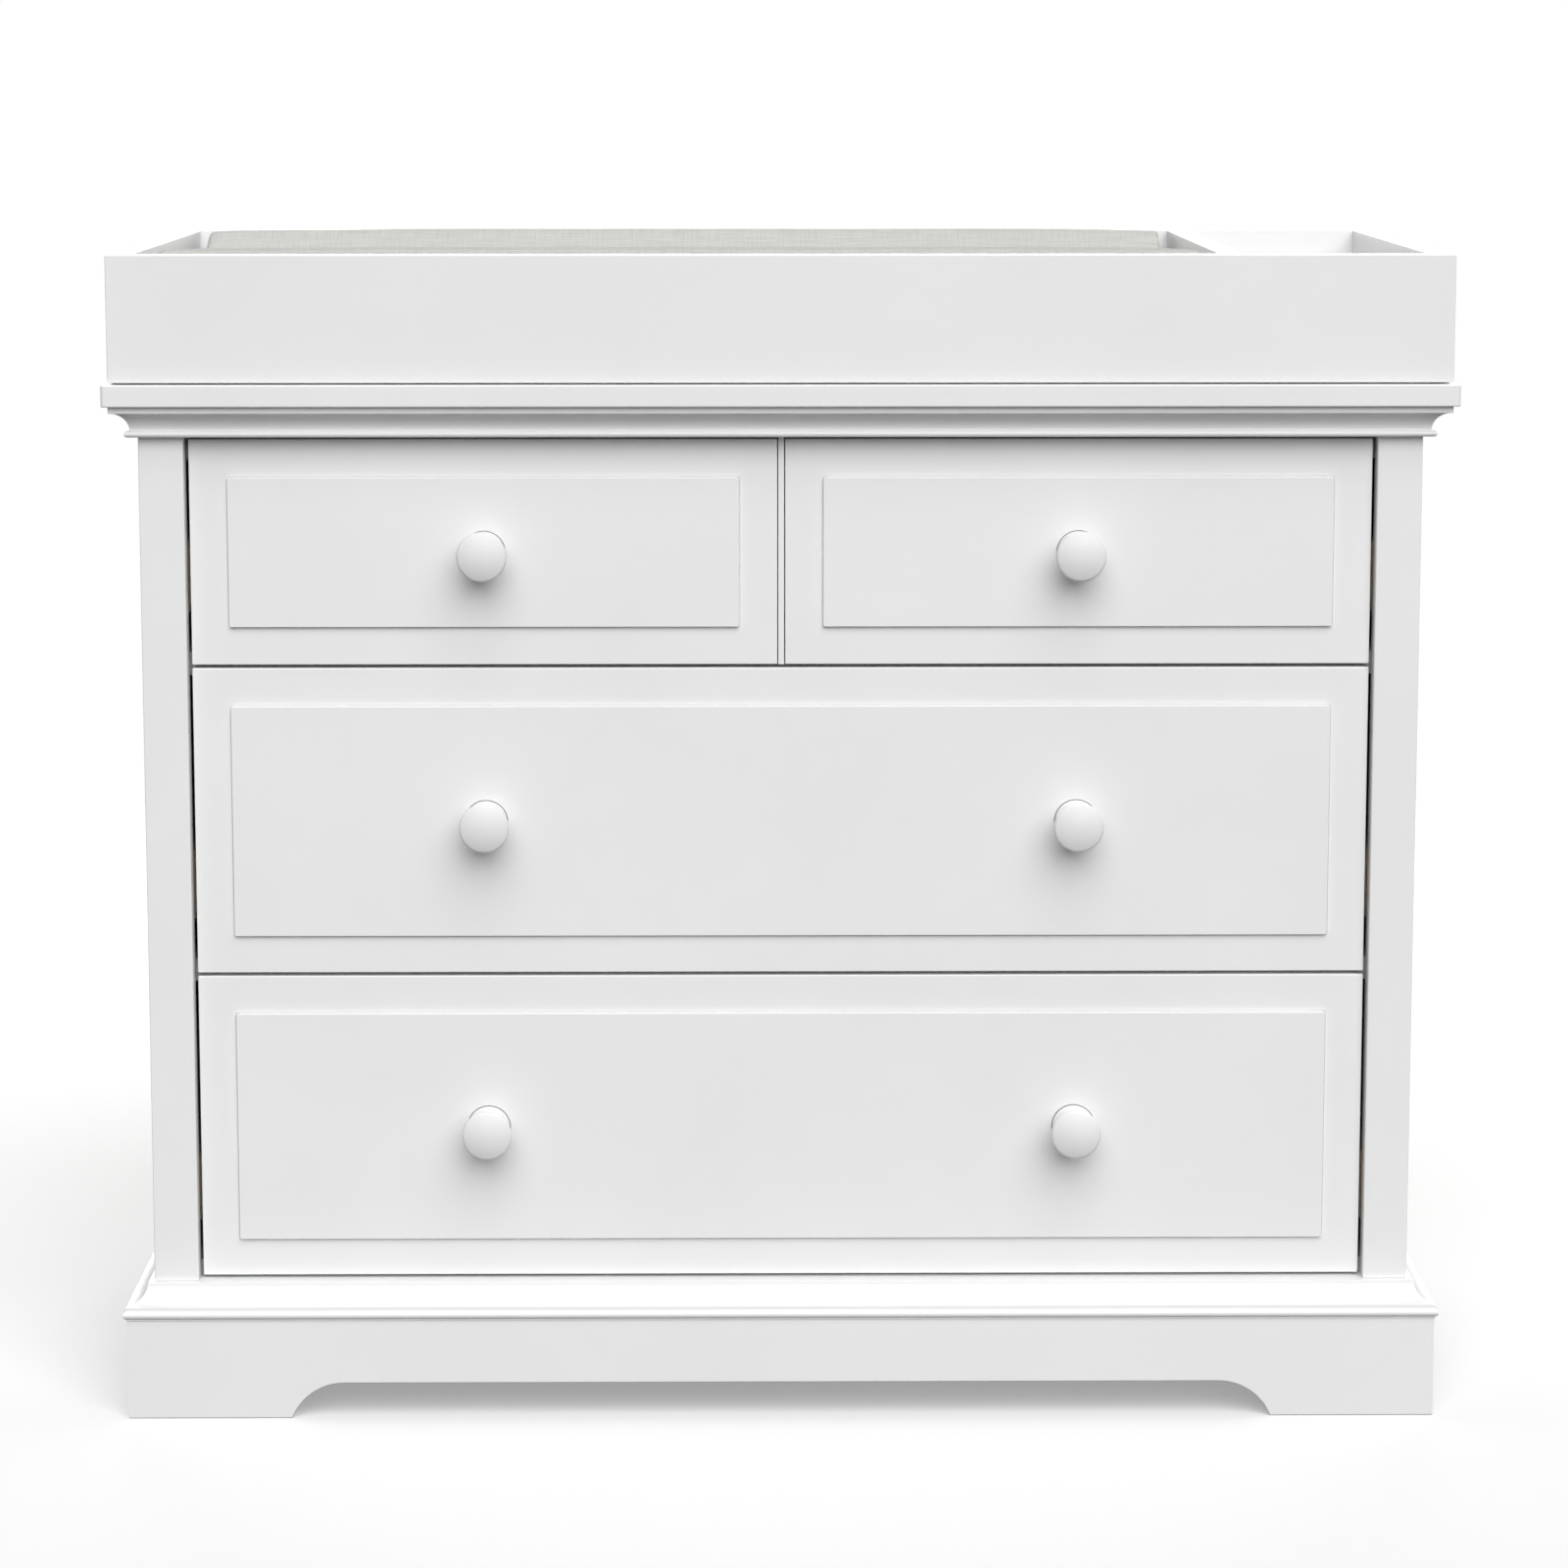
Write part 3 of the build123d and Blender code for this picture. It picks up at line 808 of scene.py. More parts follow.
@dataclass(frozen=True)
class BoxWood:
    """Clear-lacquered pale solid wood of the drawer boxes.

    Attributes:
        name: Name of the material.
        grain: Direction of the grain.
        early: Colour of the wide pale bands.
        late: Colour of the narrow darker bands.
        pore: Colour of the fine pores.
        relief: Depth of the open grain.
        rings: Frequency of the growth rings along and across the grain.
        drift: Slow changes of tone.
        streaks: Streaks along the grain.
        fibres: Fine fibres.
        pores: Short pores.
        ring_share: Share of the rings in the bands.
        streak_share: Share of the streaks and of the drift in the bands.
        pore_depth: Share of the pores in the relief.
        banded: How the bands darken the wood.
        fibred: How the fibres darken it.
        pored: How the pores darken it.
        gloss: How the fibres become roughness.
    """

    name: str
    grain: Grain
    early: Colour = (0.66, 0.50, 0.33)
    late: Colour = (0.50, 0.345, 0.20)
    pore: Colour = (0.36, 0.235, 0.13)
    relief: float = 0.05 * MM
    rings: Pair = (0.9, 40.0)
    drift: Strand = Strand(0.8, 9.0, 2.0, 0.4)
    streaks: Strand = Strand(3.0, 260.0, 4.0, 0.65)
    fibres: Strand = Strand(14.0, 900.0, 3.0, 0.6)
    pores: Strand = Strand(60.0, 1500.0, 1.0)
    ring_share: float = 0.30
    streak_share: float = 0.8
    pore_depth: float = -0.6
    banded: Ramp = Ramp(0.45, 1.15, 0.0, 0.9)
    fibred: Ramp = Ramp(0.35, 0.8, 0.0, 0.4)
    pored: Ramp = Ramp(0.66, 0.8, 0.0, 0.55)
    gloss: Ramp = Ramp(0.3, 0.7, 0.42, 0.58)

    def material(self) -> bpy.types.Material:
        """Growth rings, streaks, fibres and short pores, all stretched along the grain.

        Returns:
            The material.
        """
        mix = Recipe(self.name)
        turn = (0.0, 0.0, self.grain.value)
        along, across = self.rings
        rings = mix.node(
            "ShaderNodeTexWave",
            {
                "Vector": mix.stretched(mix.place, (along, across, across), turn),
                "Scale": 1.2,
                "Distortion": 7.0,
                "Detail": 2.0,
                "Detail Scale": 0.5,
            },
            wave_type="BANDS",
            bands_direction="DIAGONAL",
        ).outputs["Fac"]
        drift = mix.strands(self.drift, turn)
        streak = mix.strands(self.streaks, turn)
        fibre = mix.strands(self.fibres, turn)
        pores = mix.strands(self.pores, turn)
        streaked = mix.sum(streak, drift, self.streak_share)
        bands = mix.sum(mix.product(rings, self.ring_share), streaked, self.streak_share)
        tone = mix.blend(mix.spread(bands, self.banded), self.early, self.late)
        tone = mix.blend(mix.spread(fibre, self.fibred), tone, self.late)
        tone = mix.blend(mix.spread(pores, self.pored), tone, self.pore)
        mix.relief(mix.sum(fibre, pores, self.pore_depth), self.relief)
        gloss = mix.spread(fibre, self.gloss)
        mix.set(Base_Color=tone, Roughness=gloss, Specular_IOR_Level=0.35)
        return mix.material


@dataclass(frozen=True)
class Hardboard:
    """Pressed fibre board with a smooth, faintly mottled face.

    Attributes:
        name: Name of the material.
        pale: Colour of the pale fibres.
        dark: Colour of the dark fibres.
        relief: Depth of the fibres.
        mottle: Slow mottling.
        specks: Specks between the fibres.
        lie: Directions in which fibres lie, in degrees.
        fibre: Pattern of the fibres.
        mottle_share: Share of the mottling in the tone.
        toned: How the fibres and the mottling become tone.
        gloss: How the mottling becomes roughness.
    """

    name: str
    pale: Colour = (0.43, 0.31, 0.20)
    dark: Colour = (0.30, 0.20, 0.12)
    relief: float = 0.08 * MM
    mottle: Noise = Noise(6.0, 5.0, 0.6)
    specks: Noise = Noise(900.0, 3.0, 0.7)
    lie: Triple = (15.0, 75.0, 135.0)
    fibre: Strand = Strand(320.0, 1900.0, 1.0)
    mottle_share: float = 0.5
    toned: Ramp = Ramp(0.72, 1.05)
    gloss: Ramp = Ramp(0.3, 0.7, 0.5, 0.66)

    def material(self) -> bpy.types.Material:
        """Short fibres lying every way over slow mottling.

        Returns:
            The material.
        """
        mix = Recipe(self.name)
        mottle = mix.noise(mix.place, self.mottle)
        fibres = mix.noise(mix.place, self.specks)
        for degrees in self.lie:
            more = mix.strands(self.fibre, (0.0, math.radians(degrees), 0.0))
            highest = mix.node("ShaderNodeMath", {0: fibres, 1: more}, operation="MAXIMUM")
            fibres = highest.outputs[0]
        amount = mix.spread(mix.sum(fibres, mottle, self.mottle_share), self.toned)
        mix.relief(fibres, self.relief)
        mix.set(
            Base_Color=mix.blend(amount, self.dark, self.pale),
            Roughness=mix.spread(mottle, self.gloss),
            Specular_IOR_Level=0.3,
        )
        return mix.material


@dataclass(frozen=True)
class PlatedSteel:
    """Zinc-plated sheet or turned steel.

    Attributes:
        name: Name of the material.
        colour: Colour of the plating.
        shade: Colour where the plating is duller.
        gloss: How the rolling lines and the patches become roughness.
        drawn: Stretch of the rolling lines along Y.
        relief: Depth of the rolling lines.
        rolled: Pattern of the rolling lines.
        patchy: Pattern of the duller patches.
        patch_share: Share of the patches in the gloss.
        toned: How the patches become tone.
    """

    name: str
    colour: Colour = (0.66, 0.672, 0.69)
    shade: Colour = (0.58, 0.59, 0.605)
    gloss: Ramp = Ramp(0.5, 1.3, 0.30, 0.40)
    drawn: float = 0.05
    relief: float = 0.01 * MM
    rolled: Noise = Noise(1400.0, 2.0, 0.6)
    patchy: Noise = Noise(70.0, 3.0, 0.6)
    patch_share: float = 0.8
    toned: Ramp = Ramp(0.35, 0.65)

    def material(self) -> bpy.types.Material:
        """Fine rolling lines and patches of duller plating.

        Returns:
            The material.
        """
        mix = Recipe(self.name)
        lines = mix.noise(mix.stretched(mix.place, (1.0, self.drawn, 1.0)), self.rolled)
        patches = mix.noise(mix.place, self.patchy)
        amount = mix.spread(patches, self.toned)
        mix.relief(lines, self.relief)
        mix.set(
            Base_Color=mix.blend(amount, self.shade, self.colour),
            Metallic=1.0,
            Roughness=mix.spread(mix.sum(lines, patches, self.patch_share), self.gloss),
        )
        return mix.material


@dataclass(frozen=True)
class Linen:
    """Light grey-green plain-woven cover with slubs.

    Attributes:
        name: Name of the material.
        colour: Colour of the full threads.
        hollow: Colour in the gaps between threads.
        pitch: Distance between threads.
        slub: Length of a thick place in a thread.
        slub_width: Width of a thick place, across the threads.
        uneven: Pattern of the slubs.
        fuzz: Pattern of the fine fuzz.
        upright_share: Share of the upright threads' slubs.
        weave_share: Share of the weave in the tone.
        slub_rise: Share of the slubs in the relief.
        fuzz_rise: Share of the fuzz in the relief.
        toned: How the slubs and the weave become tone.
        relief: Depth of the weave.
        thread_map: UV map that lies in metres along the two sets of threads.
    """

    name: str
    colour: Colour = (0.715, 0.722, 0.684)
    hollow: Colour = (0.57, 0.578, 0.541)
    pitch: float = 0.9 * MM
    slub: float = 38.0 * MM
    slub_width: float = 1.9 * MM
    uneven: Noise = Noise(1.0, 3.0, 0.6)
    fuzz: Noise = Noise(2600.0, 1.0)
    upright_share: float = 0.8
    weave_share: float = 0.10
    slub_rise: float = 1.4
    fuzz_rise: float = 0.5
    toned: Ramp = Ramp(0.62, 1.18)
    relief: float = 0.13 * MM
    thread_map: str = "flat"

    def material(self) -> bpy.types.Material:
        """Crossing threads with uneven thickness, a soft sheen and a woven relief.

        A thread's height is a sine across it. The two sets are multiplied into over-and-under
        squares, and noise stretched along each thread thickens and lightens it in places.

        Returns:
            The material.
        """
        mix = Recipe(self.name)
        flat = mix.node("ShaderNodeUVMap", uv_map=self.thread_map).outputs[0]
        axes = mix.node("ShaderNodeSeparateXYZ", {0: flat})
        wave = 2 * math.pi / self.pitch
        warp = self.thread(mix, axes.outputs[0], wave)
        weft = self.thread(mix, axes.outputs[1], wave)
        over = mix.product(warp, weft)
        across, along = 1 / self.slub_width, 1 / self.slub
        level = mix.noise(mix.stretched(flat, (along, across, 1.0)), self.uneven)
        upright = mix.noise(mix.stretched(flat, (across, along, 1.0)), self.uneven)
        slubs = mix.sum(level, upright, self.upright_share)
        body = mix.spread(mix.sum(slubs, over, self.weave_share), self.toned)
        raised = mix.sum(over, slubs, self.slub_rise)
        height = mix.sum(raised, mix.noise(flat, self.fuzz), self.fuzz_rise)
        mix.relief(height, self.relief)
        mix.set(
            Base_Color=mix.blend(body, self.hollow, self.colour),
            Roughness=0.93,
            Specular_IOR_Level=0.18,
            Sheen_Weight=0.22,
            Sheen_Roughness=0.45,
        )
        return mix.material

    @staticmethod
    def thread(mix: Recipe, way: Socket, wave: float) -> Socket:
        """Height of one set of threads, from -1 to 1: sin(wave * way)."""
        turn = mix.product(way, wave)
        return mix.node("ShaderNodeMath", {0: turn}, operation="SINE").outputs[0]


@dataclass
class Finishes:
    """Every material of the changing table, made once.

    Attributes:
        lacquer: White lacquer of the woodwork.
        knob_lacquer: Coarser white lacquer of the knobs, with a painted shade line at their foot.
        wood_x: Box wood with its grain along x.
        wood_y: Box wood with its grain along y.
        hardboard: Board of the back panel.
        runner: Plated steel of the runners.
        screw: Plated steel of the screws.
        linen: Cloth of the pad's cover.
    """

    lacquer: bpy.types.Material = field(init=False)
    knob_lacquer: bpy.types.Material = field(init=False)
    wood_x: bpy.types.Material = field(init=False)
    wood_y: bpy.types.Material = field(init=False)
    hardboard: bpy.types.Material = field(init=False)
    runner: bpy.types.Material = field(init=False)
    screw: bpy.types.Material = field(init=False)
    linen: bpy.types.Material = field(init=False)

    def __post_init__(self) -> None:
        """Make the materials."""
        self.lacquer = Lacquer("satin_white_lacquer").material()
        self.knob_lacquer = Lacquer(
            "turned_knob_lacquer",
            colour=(0.80, 0.80, 0.80),
            thin_colour=(0.765, 0.765, 0.765),
            peel=0.16 * MM,
            dimples=Noise(680.0, 2.0, 0.6),
            gloss=Ramp(0.5, 1.0, 0.52, 0.64),
            rings=0.06 * MM,
            # Painted shade: the first 1.4 mm of each knob's profile, its thin foot ring, is
            # coloured dark to stand for the shadow where the knob meets the front.
            seam=1.4 * MM,
        ).material()
        self.wood_x = BoxWood("box_wood_grain_x", Grain.ALONG_X).material()
        self.wood_y = BoxWood("box_wood_grain_y", Grain.ALONG_Y).material()
        self.hardboard = Hardboard("pressed_hardboard").material()
        self.runner = PlatedSteel("zinc_plated_runner").material()
        self.screw = PlatedSteel(
            "zinc_plated_screw",
            colour=(0.60, 0.61, 0.62),
            gloss=Ramp(0.5, 1.3, 0.22, 0.36),
            drawn=1.0,
        ).material()
        self.linen = Linen("woven_linen_cover").material()


# ---- putting pieces in place -------------------------------------------------------------------
def install(
    mesh: bpy.types.Mesh,
    material: bpy.types.Material,
    body: Body,
    slot: Slot,
    *nodes: str,
) -> bpy.types.Object:
    """Put a finished mesh into the scene.

    Args:
        mesh: The mesh, already in place.
        material: Its finish.
        body: Body that it rides on.
        slot: Finish slot that it belongs to; not used.
        *nodes: CAD nodes that it stands for.

    Returns:
        The new object, which sits at the origin.
    """
    piece = bpy.data.objects.new(mesh.name, mesh)
    bpy.context.scene.collection.objects.link(piece)
    mesh.materials.append(material)
    even = piece.modifiers.new("even_shading", "WEIGHTED_NORMAL")
    even.keep_sharp = True
    even.weight = 100
    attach(piece, body.value)
    if nodes:
        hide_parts(*nodes)
    LOG.info("%s: %d faces on %s", piece.name, len(mesh.polygons), body.value)
    return piece


def dress(nodes: Nodes, material: bpy.types.Material, *names: str) -> None:
    """Give CAD nodes a finish.

    Args:
        nodes: The frame's nodes by name.
        material: Their new finish.
        *names: Names of the nodes to dress.
    """
    for name in names:
        for slot in nodes[name].material_slots:
            slot.material = material
        LOG.info("%s: dressed in %s", name, material.name)


# ---- cabinet -----------------------------------------------------------------------------------
@dataclass
class Cornice:
    """Bead, hollow and fillet under the dresser top, mitred at the front corners.

    Attributes:
        projection: How far the upper edge stands out from the cabinet.
        hollow: Radius of the hollow.
        bead: Height of the bead.
        bead_nose: How far the bead bulges.
        bead_step: Distance from the foot of the hollow to the bead's foot.
        ease: Radius of the edges.
    """

    projection: float = 20.0 * MM
    hollow: float = 14.5 * MM
    bead: float = 4.9 * MM
    bead_nose: float = 2.4 * MM
    bead_step: float = 1.6 * MM
    ease: float = 0.5 * MM

    def outline(self, height: float) -> np.ndarray:
        """Section of the cornice, as (out, up) from the foot of the body's face.

        Args:
            height: Height of the cornice.

        Returns:
            The closed outline.
        """
        foot = self.projection - self.hollow
        bead_foot = foot + self.bead_step
        parts = [
            np.array([[0.0, 0.0]]),
            bulge((bead_foot, 0.0), (bead_foot, self.bead), self.bead_nose, 12),
            arc((self.projection, self.bead), self.hollow, 180.0, 90.0, 20),
            np.array([[self.projection, height], [0.0, height]]),
        ]
        return eased(np.concatenate(parts), self.ease)

    def build(self, finishes: Finishes) -> None:
        """Make the front run and the two side runs.

        Args:
            finishes: The materials.
        """
        low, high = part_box("cornice_front")
        side_low, side_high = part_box("cornice_right")
        outline = self.outline(high.z - low.z)
        for word, run in runs_round(side_low.x, high.y, side_high.y, low.z).items():
            mesh = run.moulding(outline).mesh(f"cornice_{word}_run")
            install(mesh, finishes.lacquer, Body.CABINET, Slot.PAINT, f"cornice_{word}")


@dataclass(frozen=True)
class Slab:
    """Level board with rounded corners, softly eased edges and an optional set-back foot.

    The slab is a rounded rectangle whose edge turns over in a quarter circle: the ring at angle
    t from the top is set in by ease * (1 - sin t) and down by ease * (1 - cos t). The lower edge
    is the same the other way up, and may stand on a smaller rectangle.

    Attributes:
        corner: Radius of the upright edges.
        ease: Radius of the upper and lower edges.
        lift: Height of the foot, or 0 for no foot.
        set_back: How far the foot lies inside the slab.
        least_corner: Smallest radius that a ring's corner may have.
        steps: Steps in each eased edge.
    """

    corner: float
    ease: float
    lift: float = 0.0
    set_back: float = 0.0
    least_corner: float = 0.5 * MM
    steps: int = 5

    def surface(self, low: np.ndarray, high: np.ndarray) -> Patchwork:
        """Shape of the slab between two corners.

        Args:
            low: Lowest corner.
            high: Highest corner.

        Returns:
            The slab's surface.
        """
        turn = np.linspace(0.0, math.pi / 2, self.steps + 1)
        inset = self.ease * (1 - np.sin(turn))
        drop = self.ease * (1 - np.cos(turn))
        foot = np.array([self.set_back, self.set_back] if self.lift else [])
        insets = np.concatenate([inset, inset[::-1], foot])
        under = low[2] + self.lift
        stand = np.array([under, low[2]] if self.lift else [])
        heights = np.concatenate([high[2] - drop, (under + drop)[::-1], stand])
        centre, half = (low + high) / 2, (high - low) / 2
        corners = np.maximum(self.corner - insets, self.least_corner)
        rings = rectangle_rings(centre[0], centre[1], half[0], half[1], insets, corners)
        level = np.broadcast_to(heights, rings.shape[:2])
        points = np.stack([rings[..., 0], rings[..., 1], level], axis=-1)
        return Patchwork().grid(points, wrap_u=True).cap(points[:, 0]).cap(points[:, -1])


@dataclass
class DresserTop:
    """The dresser's top.

    Attributes:
        slab: Its shape.
    """

    slab: Slab = Slab(corner=3.0 * MM, ease=1.1 * MM)

    def build(self, finishes: Finishes) -> None:
        """Make the slab.

        Args:
            finishes: The materials.
        """
        low, high = (np.array(corner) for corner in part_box("top_panel"))
        mesh = self.slab.surface(low, high).mesh("dresser_top")
        install(mesh, finishes.lacquer, Body.CABINET, Slot.PAINT, "top_panel")


@dataclass
class Posts:
    """Front posts with eased edges.

    Attributes:
        ease: Radius of the edges.
    """

    ease: float = 1.0 * MM

    def build(self, finishes: Finishes) -> None:
        """Make both posts.

        Args:
            finishes: The materials.
        """
        for side in Side:
            word = side.name.lower()
            low, high = (np.array(corner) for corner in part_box(f"front_post_{word}"))
            mesh = eased_board(low, high, self.ease).mesh(f"post_{word}")
            install(mesh, finishes.lacquer, Body.CABINET, Slot.PAINT, f"front_post_{word}")


@dataclass
class Plinth:
    """Base boards with arched openings, under a bead and cove moulding.

    Attributes:
        flat: Width of the level strip between the cabinet and the cove.
        cove: Radius of the cove.
        fillet: Height of the fillet between cove and bead.
        bead: Height of the bead.
        bead_nose: How far the bead bulges.
        quirk: Height of the step under the bead.
        ease: Radius of the moulding's edges.
        board: Thickness of the base boards.
        board_ease: Radius of the base boards' outer lower edge.
        foot: Width of the front board's feet.
        side_foot: Width of the side boards' feet.
        arch_height: Height of the openings.
        arch_radius: Radius of the arcs at both ends of an opening.
    """

    flat: float = 5.0 * MM
    cove: float = 15.7 * MM
    fillet: float = 3.3 * MM
    bead: float = 6.5 * MM
    bead_nose: float = 2.4 * MM
    quirk: float = 1.5 * MM
    ease: float = 0.5 * MM
    board: float = 18.0 * MM
    board_ease: float = 1.0 * MM
    foot: float = 130.0 * MM
    side_foot: float = 110.0 * MM
    arch_height: float = 28.5 * MM
    arch_radius: float = 45.0 * MM

    def outline(self, inner: float) -> np.ndarray:
        """Section of the moulding, as (out, up) from the body's face.

        Args:
            inner: How far the moulding reaches in under the body.

        Returns:
            The closed outline.
        """
        edge = self.flat + self.cove
        bead_top = self.quirk + self.bead
        height = bead_top + self.fillet + self.cove
        parts = [
            np.array([[-inner, 0.0], [edge, 0.0]]),
            bulge((edge, self.quirk), (edge, bead_top), self.bead_nose, 12),
            arc((edge, height), self.cove, 270.0, 180.0, 20),
            np.array([[-inner, height]]),
        ]
        return eased(np.concatenate(parts), self.ease)

    def underside(self, start: float, end: float, foot: float) -> tuple[np.ndarray, np.ndarray]:
        """Lower edge of a base board: feet, two arcs and the level top of the opening.

        Args:
            start: First end of the board.
            end: Last end of the board.
            foot: Width of each foot on the floor.

        Returns:
            The places (along, up), an array of n by 2, and the directions out of the board there,
            which meet in a mitre at the foot's corner.
        """
        rise = self.arch_height - self.arch_radius
        floor = math.degrees(math.asin(-rise / self.arch_radius))
        run = self.arch_radius * math.cos(math.radians(floor))
        left_centre = np.array([start + foot + run, rise])
        right_centre = np.array([end - foot - run, rise])
        left = arc(tuple(left_centre), self.arch_radius, 180.0 - floor, 90.0, 16)
        right = arc(tuple(right_centre), self.arch_radius, 90.0, floor, 16)
        down = np.array([0.0, -1.0])
        ways_left = (left_centre - left) / self.arch_radius
        ways_right = (right_centre - right) / self.arch_radius
        ways_left[0] = (down + ways_left[0]) / (1 + down @ ways_left[0])
        ways_right[-1] = (down + ways_right[-1]) / (1 + down @ ways_right[-1])
        places = np.concatenate([[[start, 0.0]], left, right, [[end, 0.0]]])
        ways = np.concatenate([[down], ways_left, ways_right, [down]])
        return places, ways

    def arched_board(self, run: Run, foot: float, height: float, projection: float) -> Patchwork:
        """Base board whose lower edge follows the arches, with its outer lower edge eased.

        Across the board, a section's points are the inner lower edge, the quarter circle
        place - ease * way + ease * (way * cos t, outward * sin t), and the two top edges.

        Args:
            run: Where the board runs.
            foot: Width of each foot.
            height: Height of the board.
            projection: Outer face's distance from the body's face.

        Returns:
            The board's surface.
        """
        inner = projection - self.board
        places, ways = self.underside(*self.span(run, projection), foot)
        turn = np.linspace(0.0, math.pi / 2, 5)[None]
        ease = self.board_ease
        centre = places - ease * ways
        along = np.concatenate(
            [places[:, :1], centre[:, :1] + ease * ways[:, :1] * np.cos(turn)], axis=1
        )
        up = np.concatenate(
            [places[:, 1:], centre[:, 1:] + ease * ways[:, 1:] * np.cos(turn)], axis=1
        )
        outward = projection - ease + ease * np.sin(turn)
        out = np.concatenate([[[inner]], outward], axis=1)
        out = np.broadcast_to(out, along.shape)
        top = np.full((len(along), 2), height)
        rim = np.broadcast_to(np.array([[projection, inner]]), top.shape)
        along = np.concatenate([along, along[:, -1:], along[:, :1]], axis=1)
        up = np.concatenate([up, top], axis=1)
        out = np.concatenate([out, rim], axis=1)
        first, last = run.ends(out[0])
        along = np.concatenate([first[None], along[1:-1], last[None]])
        points = run.place(out, up, along)
        patch = Patchwork().grid(points, wrap_v=True)
        return patch.cap(points[0]).cap(points[-1])

    @staticmethod
    def span(run: Run, projection: float) -> Pair:
        """The outer face's first and last place along a run."""
        first, last = run.ends(np.array([projection]))
        return float(first[0]), float(last[0])

    def build(self, finishes: Finishes) -> None:
        """Make three moulding runs and three base boards.

        Args:
            finishes: The materials.
        """
        _, front_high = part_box("plinth_moulding_front")
        side_low, side_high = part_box("plinth_moulding_right")
        post_low, post_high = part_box("front_post_right")
        _, board_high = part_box("plinth_front")
        half, face, back = post_high.x, post_low.y, side_high.y
        projection, height = board_high.x - half, board_high.z
        lifted = runs_round(half, face, back, height)
        for word, run in runs_round(half, face, back, 0.0).items():
            at_front = word == "front"
            foot = self.foot if at_front else self.side_foot
            inner = front_high.y - face if at_front else half - side_low.x
            mesh = self.arched_board(run, foot, height, projection).mesh(f"base_board_{word}")
            install(mesh, finishes.lacquer, Body.CABINET, Slot.PAINT, f"plinth_{word}")
            moulding = lifted[word].moulding(self.outline(inner))
            mesh = moulding.mesh(f"plinth_moulding_{word}_run")
            node = f"plinth_moulding_{word}"
            install(mesh, finishes.lacquer, Body.CABINET, Slot.PAINT, node)


# ---- drawers -----------------------------------------------------------------------------------
@dataclass
class Knob:
    """Turned knob: thin ring painted dark as shade, base ring, waist that flares out to a rounded
    edge, and domed face.

    Its surface is the profile (r, h) swung round the knob's axis: (r cos t, r sin t) across the
    front and h out from it.

    Attributes:
        radius: Largest radius.
        length: Height of the crown over the front.
        widest: Height of the largest radius.
        shoulder: Radius of the rounded edge.
        rim_turn: Angle in degrees at which the waist meets the rounded edge.
        waist_radius: Radius of the waist.
        waist_height: Height of the waist.
        base_radius: Radius of the base ring.
        base_height: Height of the base ring.
        base_step: Width of the flat between the base ring's rounding and the waist.
        shade_ring_radius: Radius of the thin ring at the foot, painted dark to stand for the
            shadow where the knob meets the front.
        shade_ring_height: Height of that ring.
        bead_steps: Steps in the base ring's rounding.
        waist_steps: Steps in the waist.
        edge_steps: Steps in the rounded edge.
        face_steps: Steps in the face.
        segments: Steps round the axis.
    """

    radius: float = 19.6 * MM
    length: float = 36.0 * MM
    widest: float = 30.0 * MM
    shoulder: float = 3.0 * MM
    rim_turn: float = -60.0
    waist_radius: float = 12.3 * MM
    waist_height: float = 12.0 * MM
    base_radius: float = 16.7 * MM
    base_height: float = 2.4 * MM
    base_step: float = 0.8 * MM
    # Thin ring at the foot that the knob lacquer paints dark as the shadow where the knob meets
    # the front.
    shade_ring_radius: float = 17.3 * MM
    shade_ring_height: float = 0.1 * MM
    bead_steps: int = 10
    waist_steps: int = 28
    edge_steps: int = 16
    face_steps: int = 24
    segments: int = 96

    def profile(self) -> np.ndarray:
        """Half section from the base's edge to the crown.

        Returns:
            Points (radius, height), an array of n by 2.
        """
        dome = self.length - self.widest
        crown = (self.radius**2 + dome**2 - 2 * self.radius * self.shoulder) / (
            2 * (dome - self.shoulder)
        )
        centre = self.length - crown
        ring = self.radius - self.shoulder
        join = math.degrees(math.atan2(self.widest - centre, ring))
        bead = self.base_height / 2
        sunk = math.degrees(math.asin(self.shade_ring_height / bead - 1.0))
        foot = (self.base_radius - bead - self.base_step, self.base_height)
        turn = math.radians(self.rim_turn)
        rim = (
            ring + self.shoulder * math.cos(turn),
            self.widest + self.shoulder * math.sin(turn),
        )
        parts = [
            # The thin ring that carries the painted shade line.
            np.array([[self.shade_ring_radius, 0.0], [self.shade_ring_radius, self.shade_ring_height]]),
            arc((self.base_radius - bead, bead), bead, sunk, 90.0, self.bead_steps),
            through(foot, (self.waist_radius, self.waist_height), rim, self.waist_steps),
            arc((ring, self.widest), self.shoulder, self.rim_turn, join, self.edge_steps)[1:],
            arc((0.0, centre), crown, join, 90.0, self.face_steps)[1:],
        ]
        return np.concatenate(parts)

    def surface(self, x: float, face: float, z: float, patch: Patchwork) -> Patchwork:
        """Add one knob to a patchwork.

        Args:
            x: Place of its axis across the dresser.
            face: Place of the surface that it stands on.
            z: Height of its axis.
            patch: Patchwork that it joins.

        Returns:
            The patchwork.
        """
        profile = self.profile()
        turn = np.linspace(0, 2 * math.pi, self.segments, endpoint=False)[:, None]
        radius, height = profile[None, :, 0], profile[None, :, 1]
        points = np.stack(
            np.broadcast_arrays(
                x + radius * np.cos(turn), face - height, z + radius * np.sin(turn)
            ),
            axis=-1,
        )
        # Travel along the profile starts at the thin ring, so the knob lacquer's painted shade
        # covers it.
        travel = np.linalg.norm(np.diff(profile, axis=0, prepend=profile[:1]), axis=1).cumsum()
        flat = np.stack(np.broadcast_arrays(turn * self.radius, travel[None]), axis=-1)
        return patch.grid(points, wrap_u=True, flat=flat).cap(points[:, 0])


